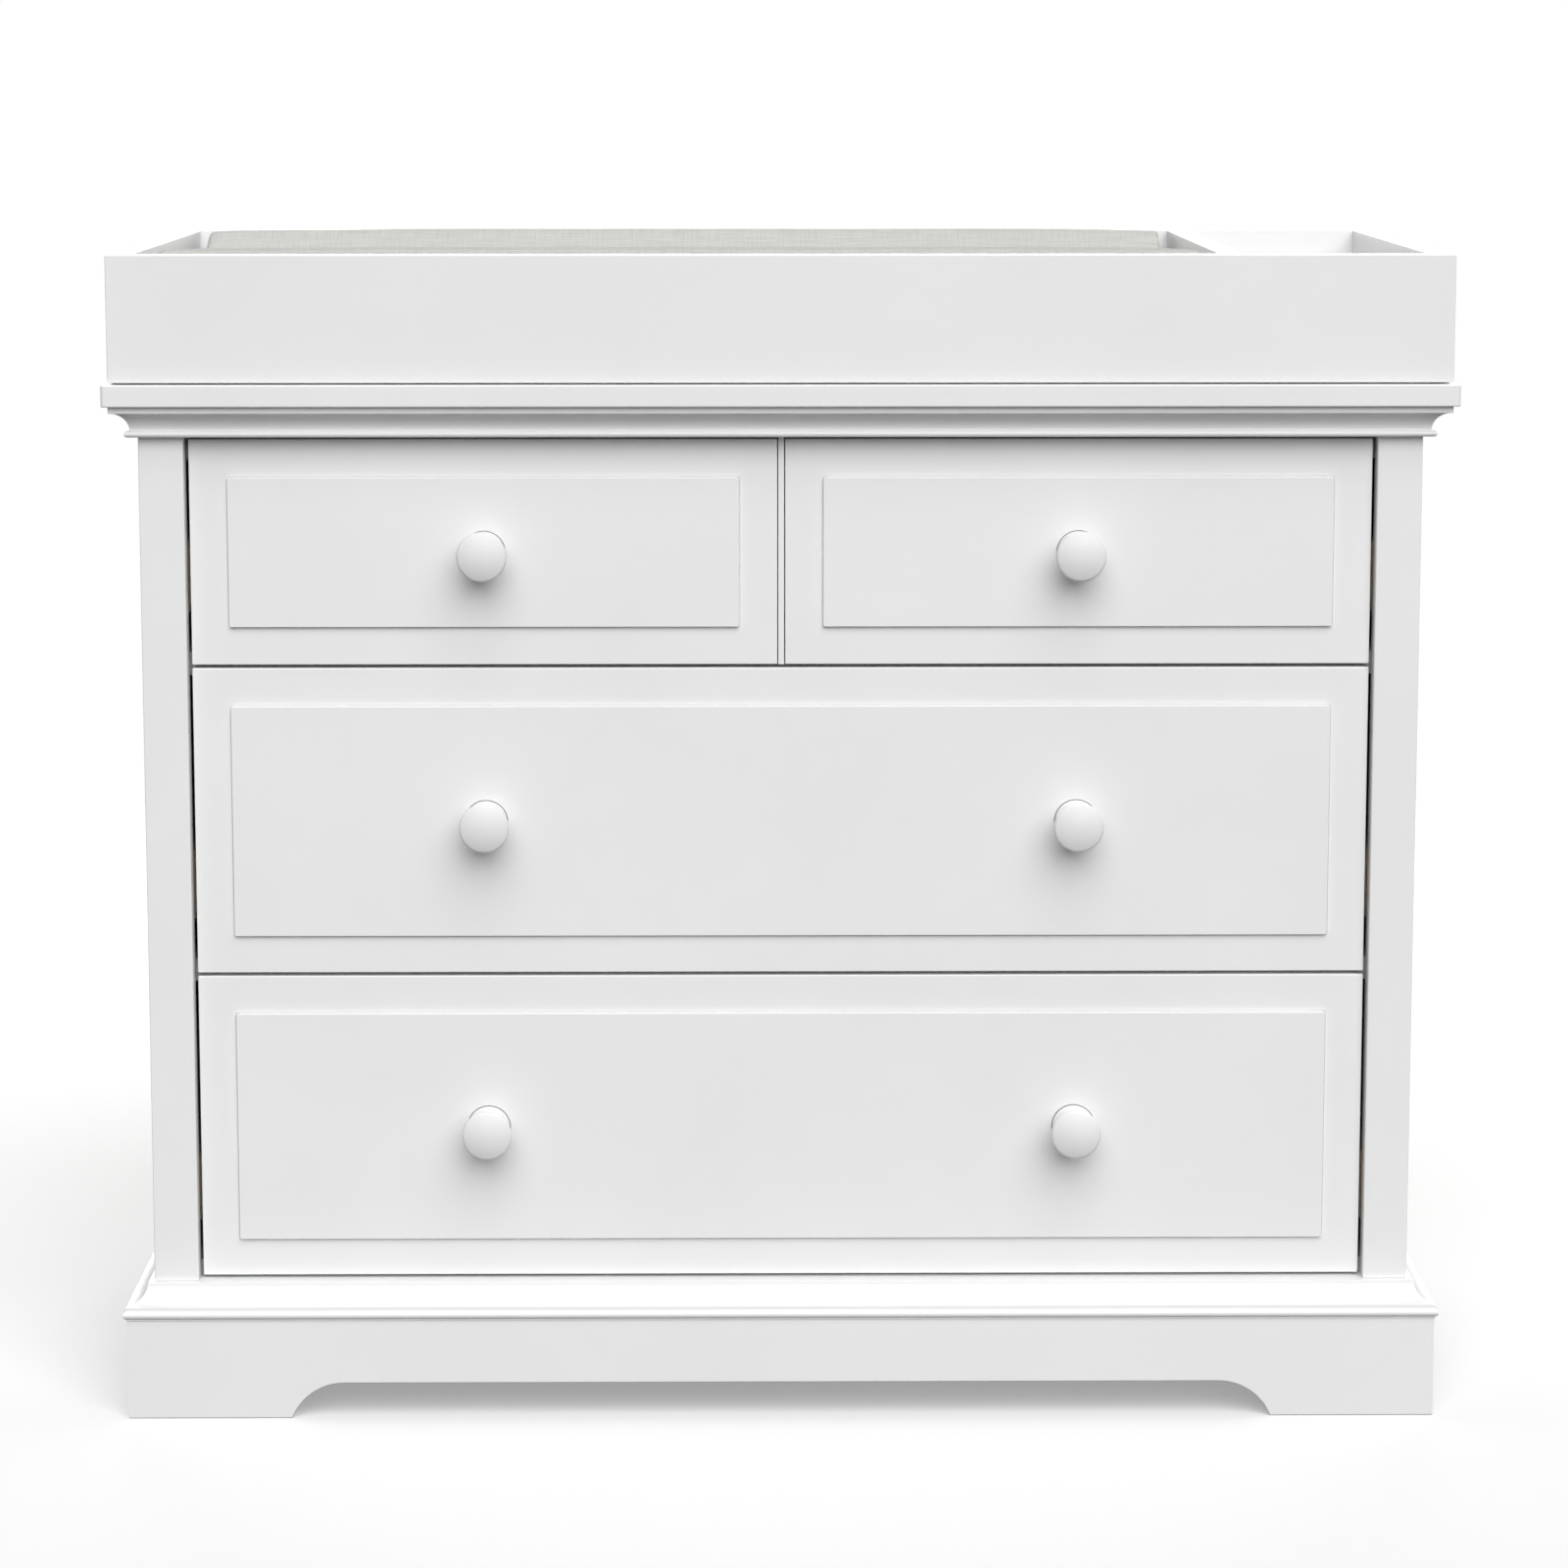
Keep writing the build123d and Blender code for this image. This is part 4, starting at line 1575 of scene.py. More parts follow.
@dataclass
class Screw:
    """Pan-head screw with a cross recess.

    The head is a polar grid whose height is a low dome less a cross: depth * max(bar(x, y),
    bar(y, x)), where a bar fades out at its sides and its end.

    Attributes:
        shank: Radius of the shank.
        head: Radius of the head.
        head_height: Height of the head.
        recess: Depth of the cross.
        crown: Part of the head's radius that the dome takes; a rounded edge takes the rest.
        sag: How far the dome falls to the head's edge, as a part of its height.
        edge_height: Height of the rounded edge's centre, as a part of the head's.
        reach: Half length of the cross, as a part of the head's radius.
        bar_side: Half width of a bar's floor and width of each of its flanks, in half lengths.
        bar_end: Length of the slope at a bar's end, in half lengths.
        segments: Steps round the axis.
        rings: Rings across the dome.
    """

    shank: float = 2.0 * MM
    head: float = 4.5 * MM
    head_height: float = 2.6 * MM
    recess: float = 1.3 * MM
    crown: float = 0.86
    sag: float = 0.35
    edge_height: float = 0.45
    reach: float = 0.62
    bar_side: float = 0.15
    bar_end: float = 0.25
    segments: int = 72
    rings: int = 24

    def surface(self, place: Triple, length: float, turned: float, patch: Patchwork) -> Patchwork:
        """Add one screw, whose head stands off a surface along Y.

        Args:
            place: Centre of the head's underside.
            length: Length of the shank behind it.
            turned: 1 where the head points along +Y, -1 along -Y.
            patch: Patchwork that it joins.

        Returns:
            The patchwork.
        """
        turn = np.linspace(0, 2 * math.pi, self.segments, endpoint=False)[:, None]
        crown = np.linspace(0.0, self.crown, self.rings) * self.head
        x, z = crown * np.cos(turn), crown * np.sin(turn)
        reach = self.reach * self.head
        cross = np.maximum(self.bar(x, z, reach), self.bar(z, x, reach))
        dome = self.head_height - self.sag * self.head_height * (crown / self.head) ** 2
        top = dome[None] - self.recess * cross
        edge_centre = (self.crown * self.head, self.edge_height * self.head_height)
        edge = arc(edge_centre, (1 - self.crown) * self.head, 60.0, 0.0, 4)
        rim = np.array([[self.head, 0.0], [self.shank, 0.0], [self.shank, -length + self.shank]])
        tip = np.array([[0.0, -length]])
        side = np.concatenate([edge, rim, tip])
        radius = np.tile(np.concatenate([crown, side[:, 0]]), (self.segments, 1))
        height = np.hstack([top, np.tile(side[:, 1], (self.segments, 1))])
        points = np.stack(
            [
                place[0] + radius * np.cos(turn),
                place[1] + turned * height,
                place[2] + radius * np.sin(turn),
            ],
            axis=-1,
        )
        return patch.grid(points, wrap_u=True)

    def bar(self, across: np.ndarray, along: np.ndarray, reach: float) -> np.ndarray:
        """One bar of the cross, 1 in its middle and 0 outside it.

        Args:
            across: Places across the bar.
            along: Places along the bar.
            reach: Half length of the bar.

        Returns:
            Depth of the bar at each place.
        """
        side = np.clip(2.0 - np.abs(across) / (self.bar_side * reach), 0.0, 1.0)
        end = np.clip((reach - np.abs(along)) / (self.bar_end * reach), 0.0, 1.0)
        return side * end


@dataclass
class DrawerFront:
    """Front board with a raised field, as nested rectangles from the back edge to the field.

    A hair-fine quirk runs round the foot of the field, where its step meets the border.

    Attributes:
        ease: Radius of the front's outer edges.
        margin: Width of the border.
        proud: How far the field stands out.
        field_corner: Radius of the field's corners.
        field_ease: Radius of the field's rim.
        quirk_width: Width of the quirk.
        quirk_depth: Depth of the quirk.
        least_corner: Smallest corner radius of the outer rings.
        least_field_corner: Smallest corner radius of the field's rings.
    """

    ease: float = 0.9 * MM
    margin: float = 30.0 * MM
    proud: float = 3.0 * MM
    field_corner: float = 1.6 * MM
    field_ease: float = 0.45 * MM
    quirk_width: float = 0.9 * MM
    quirk_depth: float = 0.9 * MM
    least_corner: float = 0.2 * MM
    least_field_corner: float = 0.6 * MM

    def surface(self, low: Vector, high: Vector) -> Patchwork:
        """Shape of one front.

        The rings go from the back face over the eased edge, across the border, up the step and
        over its eased rim; each ring has an inset and a depth.

        Args:
            low: Lowest corner of the front, on its raised field.
            high: Highest corner, on its back face.

        Returns:
            The front's surface.
        """
        border = low.y + self.proud
        over = arc((self.ease, border + self.ease), self.ease, 180.0, 270.0, 4)
        foot = bulge(
            (self.margin - self.quirk_width, border), (self.margin, border), -self.quirk_depth, 8
        )
        rim = arc(
            (self.margin + self.field_ease, low.y + self.field_ease), self.field_ease, 180, 270, 4
        )
        section = np.concatenate([[[0.0, high.y]], over, foot, rim])
        insets, depths = section[:, 0], section[:, 1]
        outer = np.maximum(self.ease - insets, self.least_corner)
        inner = np.maximum(self.field_corner + self.margin - insets, self.least_field_corner)
        corners = np.where(insets < self.margin / 2, outer, inner)
        first, last = np.array(low), np.array(high)
        centre, half = (first + last) / 2, (last - first) / 2
        rings = rectangle_rings(centre[0], centre[2], half[0], half[2], insets, corners)
        points = np.stack(
            [rings[..., 0], np.broadcast_to(depths, rings.shape[:2]), rings[..., 1]], axis=-1
        )
        return Patchwork().grid(points, wrap_u=True).cap(points[:, 0]).cap(points[:, -1])


@dataclass
class Drawer:
    """One drawer: its front, knobs, box, screws and runner channels.

    Attributes:
        body: Body that it rides on, whose name starts its nodes' names.
        knobs: Number of knobs.
        front: Sizes of the front.
        knob: Sizes of a knob.
        screw: Sizes of a knob's screw.
    """

    body: Body
    knobs: int
    front: DrawerFront = field(default_factory=DrawerFront)
    knob: Knob = field(default_factory=Knob)
    screw: Screw = field(default_factory=Screw)

    def build(self, nodes: Nodes, finishes: Finishes) -> None:
        """Make the front, knobs and screws, and dress the box and the channels.

        Args:
            nodes: The frame's nodes by name.
            finishes: The materials.
        """
        name = self.body.value
        low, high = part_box(f"{name}_front")
        mesh = self.front.surface(low, high).mesh(f"{name}_raised_front")
        install(mesh, finishes.lacquer, self.body, Slot.PAINT, f"{name}_front")
        plural = "s" if self.knobs > 1 else ""
        knob_low, knob_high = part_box(f"{name}_knob{plural}")
        z = (knob_low.z + knob_high.z) / 2
        first, last = knob_low.x + self.knob.radius, knob_high.x - self.knob.radius
        turned, screws = Patchwork(), Patchwork()
        screw_low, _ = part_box(f"{name}_knob_screw{plural}")
        for x in np.linspace(first, last, self.knobs):
            self.knob.surface(x, low.y, z, turned)
            self.screw.surface((x, high.y, z), high.y - screw_low.y, 1.0, screws)
        mesh = turned.mesh(f"{name}_turned_knob{plural}", TURNED_CREASE)
        install(mesh, finishes.knob_lacquer, self.body, Slot.PAINT, f"{name}_knob{plural}")
        mesh = screws.mesh(f"{name}_cross_screw{plural}", TURNED_CREASE)
        node = f"{name}_knob_screw{plural}"
        install(mesh, finishes.screw, self.body, Slot.SCREW, node)
        dress(nodes, finishes.wood_y, f"{name}_sides")
        dress(nodes, finishes.wood_x, f"{name}_back", f"{name}_bottom")
        dress(nodes, finishes.runner, f"{name}_runners")


# ---- topper ------------------------------------------------------------------------------------
@dataclass
class Topper:
    """Five boards of the changing topper.

    A fine shadow line shows where they butt together and where they stand on the dresser, on a
    foot that is set back under each board.

    Attributes:
        board: Shape of a board.
        joint: Width of the shadow line between two boards.
    """

    board: Slab = Slab(corner=1.0 * MM, ease=1.0 * MM, lift=1.4 * MM, set_back=7.0 * MM)
    joint: float = 1.0 * MM

    def build(self, finishes: Finishes) -> None:
        """Make the boards.

        Args:
            finishes: The materials.
        """
        for word in ("front_rail", "back_rail", "end_left", "end_right", "divider"):
            low, high = (np.array(corner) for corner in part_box(f"topper_{word}"))
            if not word.endswith("rail"):
                low[1] += self.joint
                high[1] -= self.joint
            mesh = self.board.surface(low, high).mesh(f"topper_board_{word}")
            install(mesh, finishes.lacquer, Body.TOPPER, Slot.PAINT, f"topper_{word}")


# ---- pad ---------------------------------------------------------------------------------------
@dataclass
class ChangingPad:
    """Contoured foam pad in a fitted woven cover.

    A slightly small copy of the foam is swollen by a short cloth simulation, held near its
    shape, and then mapped along and across its section so that the weave follows the cover.

    Attributes:
        shoulder: Radius of the outer shoulders.
        crest: Width of the level strip on each crest.
        valley: Height of the hollow's lowest line.
        shrink: How much smaller than the pad the foam is on each side.
        voxel: Size of the cover's faces before they are divided.
        swell: Farthest that the swelling moves a point.
        evening: Times that the swelling is evened out.
        softening: How far each point goes towards its neighbours when edges are softened.
        wave: Height of the cover's slow waves.
        wave_lengths: Lengths that set the spacing of the waves, two for each sine.
        wave_turns: Wander of the first sine, lead of the second and wander of the third.
        fade: Height over which the waves grow from the pad's foot.
        spare: Farthest that the cover reaches past the pad's sides and crests.
        frames: Length of the simulation.
        quality: Steps of the simulation in each frame.
        mass: Mass of each of the cloth's points in kilograms.
        pressure: Pressure of the filling on the cover.
        stiffness: Stiffness of the cloth against stretching and squeezing.
        bending: Stiffness of the cloth against bending.
        end_normal: Least lengthwise part of a face's normal on the pad's ends.
        chunks: Parts in which points are compared with a line.
        seam_radius: Radius of the seam.
        seam_steps: Points along each crest.
        seam_sides: Sides of the seam's section.
        seam_evening: Times that the seam's line is evened out.
        seam_margin: Distance of the seam from the pad's ends.
        seam_share: Distance of the seam from the pad's sides, as a part of the shoulder.
        seam_floor: Height over the pad's foot above which the seam runs.
        reach: Width of the bell curve that lays the seam on the cover.
    """

    shoulder: float = 34.0 * MM
    crest: float = 12.0 * MM
    valley: float = 44.0 * MM
    shrink: float = 1.0 * MM
    voxel: float = 6.3 * MM
    swell: float = 1.6 * MM
    evening: int = 14
    softening: float = 0.5
    wave: float = 0.12 * MM
    wave_lengths: tuple[float, ...] = (0.037, 0.09, 0.081, 0.052, 0.029, 0.13)
    wave_turns: Triple = (3.1, 1.3, 1.7)
    fade: float = 30.0 * MM
    spare: float = 1.5 * MM
    frames: int = 20
    quality: int = 5
    mass: float = 0.25
    pressure: float = 4.0
    stiffness: float = 18.0
    bending: float = 0.8
    end_normal: float = 0.75
    chunks: int = 40
    seam_radius: float = 1.0 * MM
    seam_steps: int = 260
    seam_sides: int = 10
    seam_evening: int = 16
    seam_margin: float = 2.0 * MM
    seam_share: float = 0.72
    seam_floor: float = 40.0 * MM
    reach: float = 3.0 * MM

    def outline(self, low: Vector, high: Vector, inset: float = 0.0) -> np.ndarray:
        """Section of the pad, as (across, up) points, from the front edge round to the back.

        Args:
            low: Lowest corner of the pad.
            high: Highest corner.
            inset: How much smaller than the pad the section is.

        Returns:
            The closed outline.
        """
        half = (high.y - low.y) / 2 - inset
        height = high.z - low.z
        shoulder = self.shoulder - inset
        top = high.z - inset
        outer = half - shoulder
        inner = outer - self.crest
        sag = height - self.valley
        bowl = (inner**2 + sag**2) / (2 * sag)
        reach = math.degrees(math.asin(inner / bowl))
        parts = [
            np.array([[-half, low.z], [half, low.z]]),
            arc((outer, top - shoulder), shoulder, 0.0, 90.0, 20),
            arc((0.0, top - sag + bowl), bowl, -90.0 + reach, -90.0 - reach, 60),
            arc((-outer, top - shoulder), shoulder, 90.0, 180.0, 20),
        ]
        return np.concatenate(parts)

    def foam(self, low: Vector, high: Vector) -> bpy.types.Object:
        """The slightly small foam block, as an object.

        Args:
            low: Lowest corner of the pad.
            high: Highest corner.

        Returns:
            The object.
        """
        outline = self.outline(low, high, self.shrink)
        outline[:, 1] = np.maximum(outline[:, 1], low.z)
        ends = np.array([low.x + self.shrink, high.x - self.shrink])
        points = np.stack(
            np.broadcast_arrays(ends[None], outline[:, :1], outline[:, 1:]), axis=-1
        )
        patch = Patchwork().grid(points, wrap_u=True).cap(points[:, 0]).cap(points[:, 1])
        mesh = patch.mesh("pad_cover")
        piece = bpy.data.objects.new("pad_cover", mesh)
        bpy.context.scene.collection.objects.link(piece)
        return piece

    @staticmethod
    def places(mesh: bpy.types.Mesh) -> np.ndarray:
        """Places of a mesh's vertices.

        Args:
            mesh: The mesh.

        Returns:
            An array of n by 3.
        """
        flat = np.empty(len(mesh.vertices) * 3, np.float32)
        mesh.vertices.foreach_get("co", flat)
        return flat.reshape(-1, 3).astype(float)

    @staticmethod
    def apply_modifiers(piece: bpy.types.Object) -> None:
        """Replace an object's mesh with its modified one and drop the modifiers.

        Args:
            piece: The object.
        """
        graph = bpy.context.evaluated_depsgraph_get()
        made = bpy.data.meshes.new_from_object(piece.evaluated_get(graph), depsgraph=graph)
        made.name = piece.data.name
        piece.modifiers.clear()
        piece.data = made

    def remesh(self, piece: bpy.types.Object) -> None:
        """Give the block even square faces and soften its edges.

        Args:
            piece: The block.
        """
        even = piece.modifiers.new("even_faces", "REMESH")
        even.mode = "VOXEL"
        even.voxel_size = self.voxel
        soft = piece.modifiers.new("soft_edges", "SMOOTH")
        soft.factor = self.softening
        soft.iterations = 1
        self.apply_modifiers(piece)

    def inflate(self, piece: bpy.types.Object) -> None:
        """Swell the cover with a short cloth simulation, held near its shape.

        Args:
            piece: The cover.
        """
        rest = self.places(piece.data)
        cloth = piece.modifiers.new("swelling", "CLOTH")
        cloth.settings.quality = self.quality
        cloth.settings.mass = self.mass
        cloth.settings.use_pressure = True
        cloth.settings.uniform_pressure_force = self.pressure
        cloth.settings.tension_stiffness = self.stiffness
        cloth.settings.compression_stiffness = self.stiffness
        cloth.settings.bending_stiffness = self.bending
        cloth.settings.effector_weights.gravity = 0.0
        cloth.collision_settings.use_collision = False
        scene = bpy.context.scene
        for frame in range(self.frames):
            scene.frame_set(frame + 1)
        self.apply_modifiers(piece)
        scene.frame_set(1)
        moved = self.places(piece.data) - rest
        length = np.linalg.norm(moved, axis=1, keepdims=True)
        moved *= np.minimum(length, self.swell) / np.maximum(length, TINY)
        held = rest + self.evened(piece.data, moved)
        piece.data.vertices.foreach_set("co", held.astype(np.float32).ravel())

    def evened(self, mesh: bpy.types.Mesh, values: np.ndarray) -> np.ndarray:
        """Even out values over a mesh, by averaging each with its neighbours' mean a few times.

        Args:
            mesh: The mesh.
            values: One row for each of its vertices.

        Returns:
            The evened values.
        """
        edges = np.empty(len(mesh.edges) * 2, np.int32)
        mesh.edges.foreach_get("vertices", edges)
        start, end = edges.reshape(-1, 2).T
        both, other = np.concatenate([start, end]), np.concatenate([end, start])
        count = np.bincount(both, minlength=len(values))[:, None]
        for _ in range(self.evening):
            columns = [np.bincount(both, values[other, n], len(values)) for n in range(3)]
            values = (values + np.stack(columns, axis=1) / count) / 2
        return values

    def settle(self, piece: bpy.types.Object, low: Vector, high: Vector) -> None:
        """Add slow waves of a hand-filled cover and keep the pad on its rest and in its well.

        The surface moves by sin(x/a + r sin(y/b)) + sin(x/c - y/d + s) + sin(y/e + t sin(x/f)).

        Args:
            piece: The cover.
            low: Lowest corner of the pad.
            high: Highest corner.
        """
        place = self.places(piece.data)
        x, y = place[:, 0], place[:, 1]
        a, b, c, d, e, f = self.wave_lengths
        r, s, t = self.wave_turns
        waves = (
            np.sin(x / a + r * np.sin(y / b))
            + np.sin(x / c - y / d + s)
            + np.sin(y / e + t * np.sin(x / f))
        )
        above = np.clip((place[:, 2] - low.z) / self.fade, 0.0, 1.0)
        place[:, 2] += self.wave * waves * above
        least = np.array([low.x - self.spare, low.y - self.spare, low.z])
        place = np.clip(place, least, np.array(high) + self.spare)
        piece.data.vertices.foreach_set("co", place.astype(np.float32).ravel())
        piece.data.update()

    def map_weave(self, mesh: bpy.types.Mesh, low: Vector, high: Vector) -> None:
        """Lay the flat coordinates of the weave on the cover, in metres.

        On the top and sides they are the place along the pad and the way round its section; on
        the ends they are the places across and up.

        Args:
            mesh: The cover's mesh.
            low: Lowest corner of the pad.
            high: Highest corner.
        """
        place = self.places(mesh)
        path = self.outline(low, high)[1:]
        steps = np.diff(path, axis=0)
        length = np.linalg.norm(steps, axis=1)
        gone = np.concatenate([[0.0], length.cumsum()])[:-1]
        middle = path[:-1] + steps / 2
        around = np.empty(len(place))
        for part in np.array_split(np.arange(len(place)), self.chunks):
            offset = place[part, None, 1:] - middle[None]
            near = (offset**2).sum(axis=-1).argmin(axis=1)
            way = steps[near] / length[near, None]
            ahead = ((place[part, 1:] - path[near]) * way).sum(axis=1)
            around[part] = gone[near] + ahead
        corner = np.empty(len(mesh.loops), np.int32)
        mesh.loops.foreach_get("vertex_index", corner)
        normal = np.empty(len(mesh.polygons) * 3, np.float32)
        mesh.polygons.foreach_get("normal", normal)
        size = np.empty(len(mesh.polygons), np.int32)
        mesh.polygons.foreach_get("loop_total", size)
        on_end = np.repeat(np.abs(normal.reshape(-1, 3)[:, 0]) > self.end_normal, size)
        top = np.stack([place[:, 0], around], axis=1)[corner]
        end = place[:, 1:][corner]
        flat = np.where(on_end[:, None], end, top)
        layer = mesh.uv_layers.get("flat") or mesh.uv_layers.new(name="flat")
        layer.data.foreach_set("uv", flat.astype(np.float32).ravel())

    def seam_path(self, cover: np.ndarray, low: Vector, high: Vector) -> np.ndarray:
        """Line of the seam: along both crests and down and up each end, on the cover.

        Each point of the planned line moves to the mean of the cover's points, weighted by a
        bell curve of their distance, and the line is then averaged along its length.

        Args:
            cover: Places of the cover's points.
            low: Lowest corner of the pad.
            high: Highest corner.

        Returns:
            A closed line of points, an array of n by 3.
        """
        outline = self.outline(low, high)
        half = (high.y - low.y) / 2 - self.shoulder * self.seam_share
        above = outline[:, 1] > low.z + self.seam_floor
        top = outline[above & (np.abs(outline[:, 0]) <= half)]
        left, right = low.x + self.seam_margin, high.x - self.seam_margin
        along = np.linspace(left, right, self.seam_steps)
        crest = np.column_stack([along, np.tile(top[0], (self.seam_steps, 1))])
        end = np.column_stack([np.full(len(top), right), top])
        other = np.column_stack([along[::-1], np.tile(top[-1], (self.seam_steps, 1))])
        start = np.column_stack([np.full(len(top), left), top[::-1]])
        plan = np.concatenate([crest, end, other, start])
        near = np.empty_like(plan)
        for part in np.array_split(np.arange(len(plan)), self.chunks):
            apart = ((plan[part, None] - cover[None]) ** 2).sum(axis=-1)
            weight = np.exp(-apart / (2 * self.reach**2))
            near[part] = weight @ cover / weight.sum(axis=1, keepdims=True)
        for _ in range(self.seam_evening):
            near = (np.roll(near, 1, axis=0) + 2 * near + np.roll(near, -1, axis=0)) / 4
        return near

    def seam(self, path: np.ndarray) -> bpy.types.Mesh:
        """A fine rolled seam: a circle carried along the line.

        Args:
            path: The seam's line.

        Returns:
            The mesh.
        """
        ahead = np.roll(path, -1, axis=0) - np.roll(path, 1, axis=0)
        ahead /= np.maximum(np.linalg.norm(ahead, axis=1, keepdims=True), TINY)
        up = np.array([0.0, 0.0, 1.0])
        across = np.cross(ahead, up)
        across /= np.maximum(np.linalg.norm(across, axis=1, keepdims=True), TINY)
        rise = np.cross(across, ahead)
        turn = np.linspace(0, 2 * math.pi, self.seam_sides, endpoint=False)
        ring = across[:, None] * np.cos(turn)[:, None] + rise[:, None] * np.sin(turn)[:, None]
        points = path[:, None] + self.seam_radius * ring
        step = np.linalg.norm(np.diff(path, axis=0, prepend=path[-1:]), axis=1).cumsum()
        flat = np.stack(np.broadcast_arrays(step[:, None], turn[None] * self.seam_radius), axis=-1)
        return Patchwork().grid(points, wrap_u=True, wrap_v=True, flat=flat).mesh("pad_seam", 80.0)

    def build(self, finishes: Finishes) -> None:
        """Make the padded cover and its seam.

        Args:
            finishes: The materials.
        """
        low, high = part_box("changing_pad")
        piece = self.foam(low, high)
        self.remesh(piece)
        self.inflate(piece)
        self.settle(piece, low, high)
        finer = piece.modifiers.new("finer", "SUBSURF")
        finer.levels = finer.render_levels = 1
        self.apply_modifiers(piece)
        mesh = piece.data
        mesh.name = "pad_cover"
        mesh.polygons.foreach_set("use_smooth", np.ones(len(mesh.polygons), bool))
        self.map_weave(mesh, low, high)
        mesh.materials.clear()
        mesh.materials.append(finishes.linen)
        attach(piece, Body.PAD.value)
        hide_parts("changing_pad")
        LOG.info("%s: %d faces on %s", piece.name, len(mesh.polygons), Body.PAD.value)
        seam = self.seam(self.seam_path(self.places(mesh), low, high))
        install(seam, finishes.linen, Body.PAD, Slot.FABRIC)


# ---- cabinet carcase ---------------------------------------------------------------------------
@dataclass
class Carcase:
    """Panels, rails, runners and back screws of the cabinet.

    Attributes:
        screw: Sizes of a back screw.
        screws_per_side: Number of back screws along each side.
        margin: Height of the lowest screw over the back panel's foot.
    """

    screw: Screw = field(
        default_factory=lambda: Screw(
            shank=1.6 * MM, head=3.6 * MM, head_height=1.8 * MM, recess=0.9 * MM
        )
    )
    screws_per_side: int = 4
    margin: float = 60.0 * MM

    def build(self, nodes: Nodes, finishes: Finishes) -> None:
        """Dress the panels and make the back panel's screws.

        Args:
            nodes: The frame's nodes by name.
            finishes: The materials.
        """
        painted = (
            "bottom_panel",
            "centre_partition",
            "centre_stile",
            "drawer_rails",
            "plinth_back",
            "side_panel_left",
            "side_panel_right",
            "top_rail",
        )
        dress(nodes, finishes.lacquer, *painted)
        dress(nodes, finishes.wood_y, "runner_battens")
        dress(nodes, finishes.wood_x, "support_feet")
        dress(nodes, finishes.hardboard, "back_panel")
        dress(nodes, finishes.runner, "cabinet_runners")
        low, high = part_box("back_panel_screws")
        panel_low, panel_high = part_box("back_panel")
        first = panel_low.z + self.margin
        last = panel_high.z - self.margin
        x = high.x - self.screw.head
        heads = Patchwork()
        for side in Side:
            for z in np.linspace(first, last, self.screws_per_side):
                place = (side.value * x, panel_high.y, z)
                self.screw.surface(place, panel_high.y - low.y, 1.0, heads)
        mesh = heads.mesh("back_cross_screws", TURNED_CREASE)
        install(mesh, finishes.screw, Body.CABINET, Slot.SCREW, "back_panel_screws")


# ---- studio ------------------------------------------------------------------------------------
@dataclass(frozen=True)
class Softbox:
    """A rectangular lamp with an even face.

    Attributes:
        place: Where it hangs.
        size: Width and height of its face.
        power: Its power in watts.
    """

    place: Triple
    size: Pair
    power: float

    def hang(self, name: str, aim: Triple) -> None:
        """Put the lamp in the scene.

        Args:
            name: Its name.
            aim: The point that it faces.
        """
        data = bpy.data.lights.new(name, "AREA")
        data.shape = "RECTANGLE"
        data.size, data.size_y = self.size
        data.energy = self.power
        lamp = bpy.data.objects.new(name, data)
        lamp.location = self.place
        facing = Vector(aim) - Vector(self.place)
        lamp.rotation_euler = facing.to_track_quat("-Z", "Y").to_euler()
        bpy.context.scene.collection.objects.link(lamp)


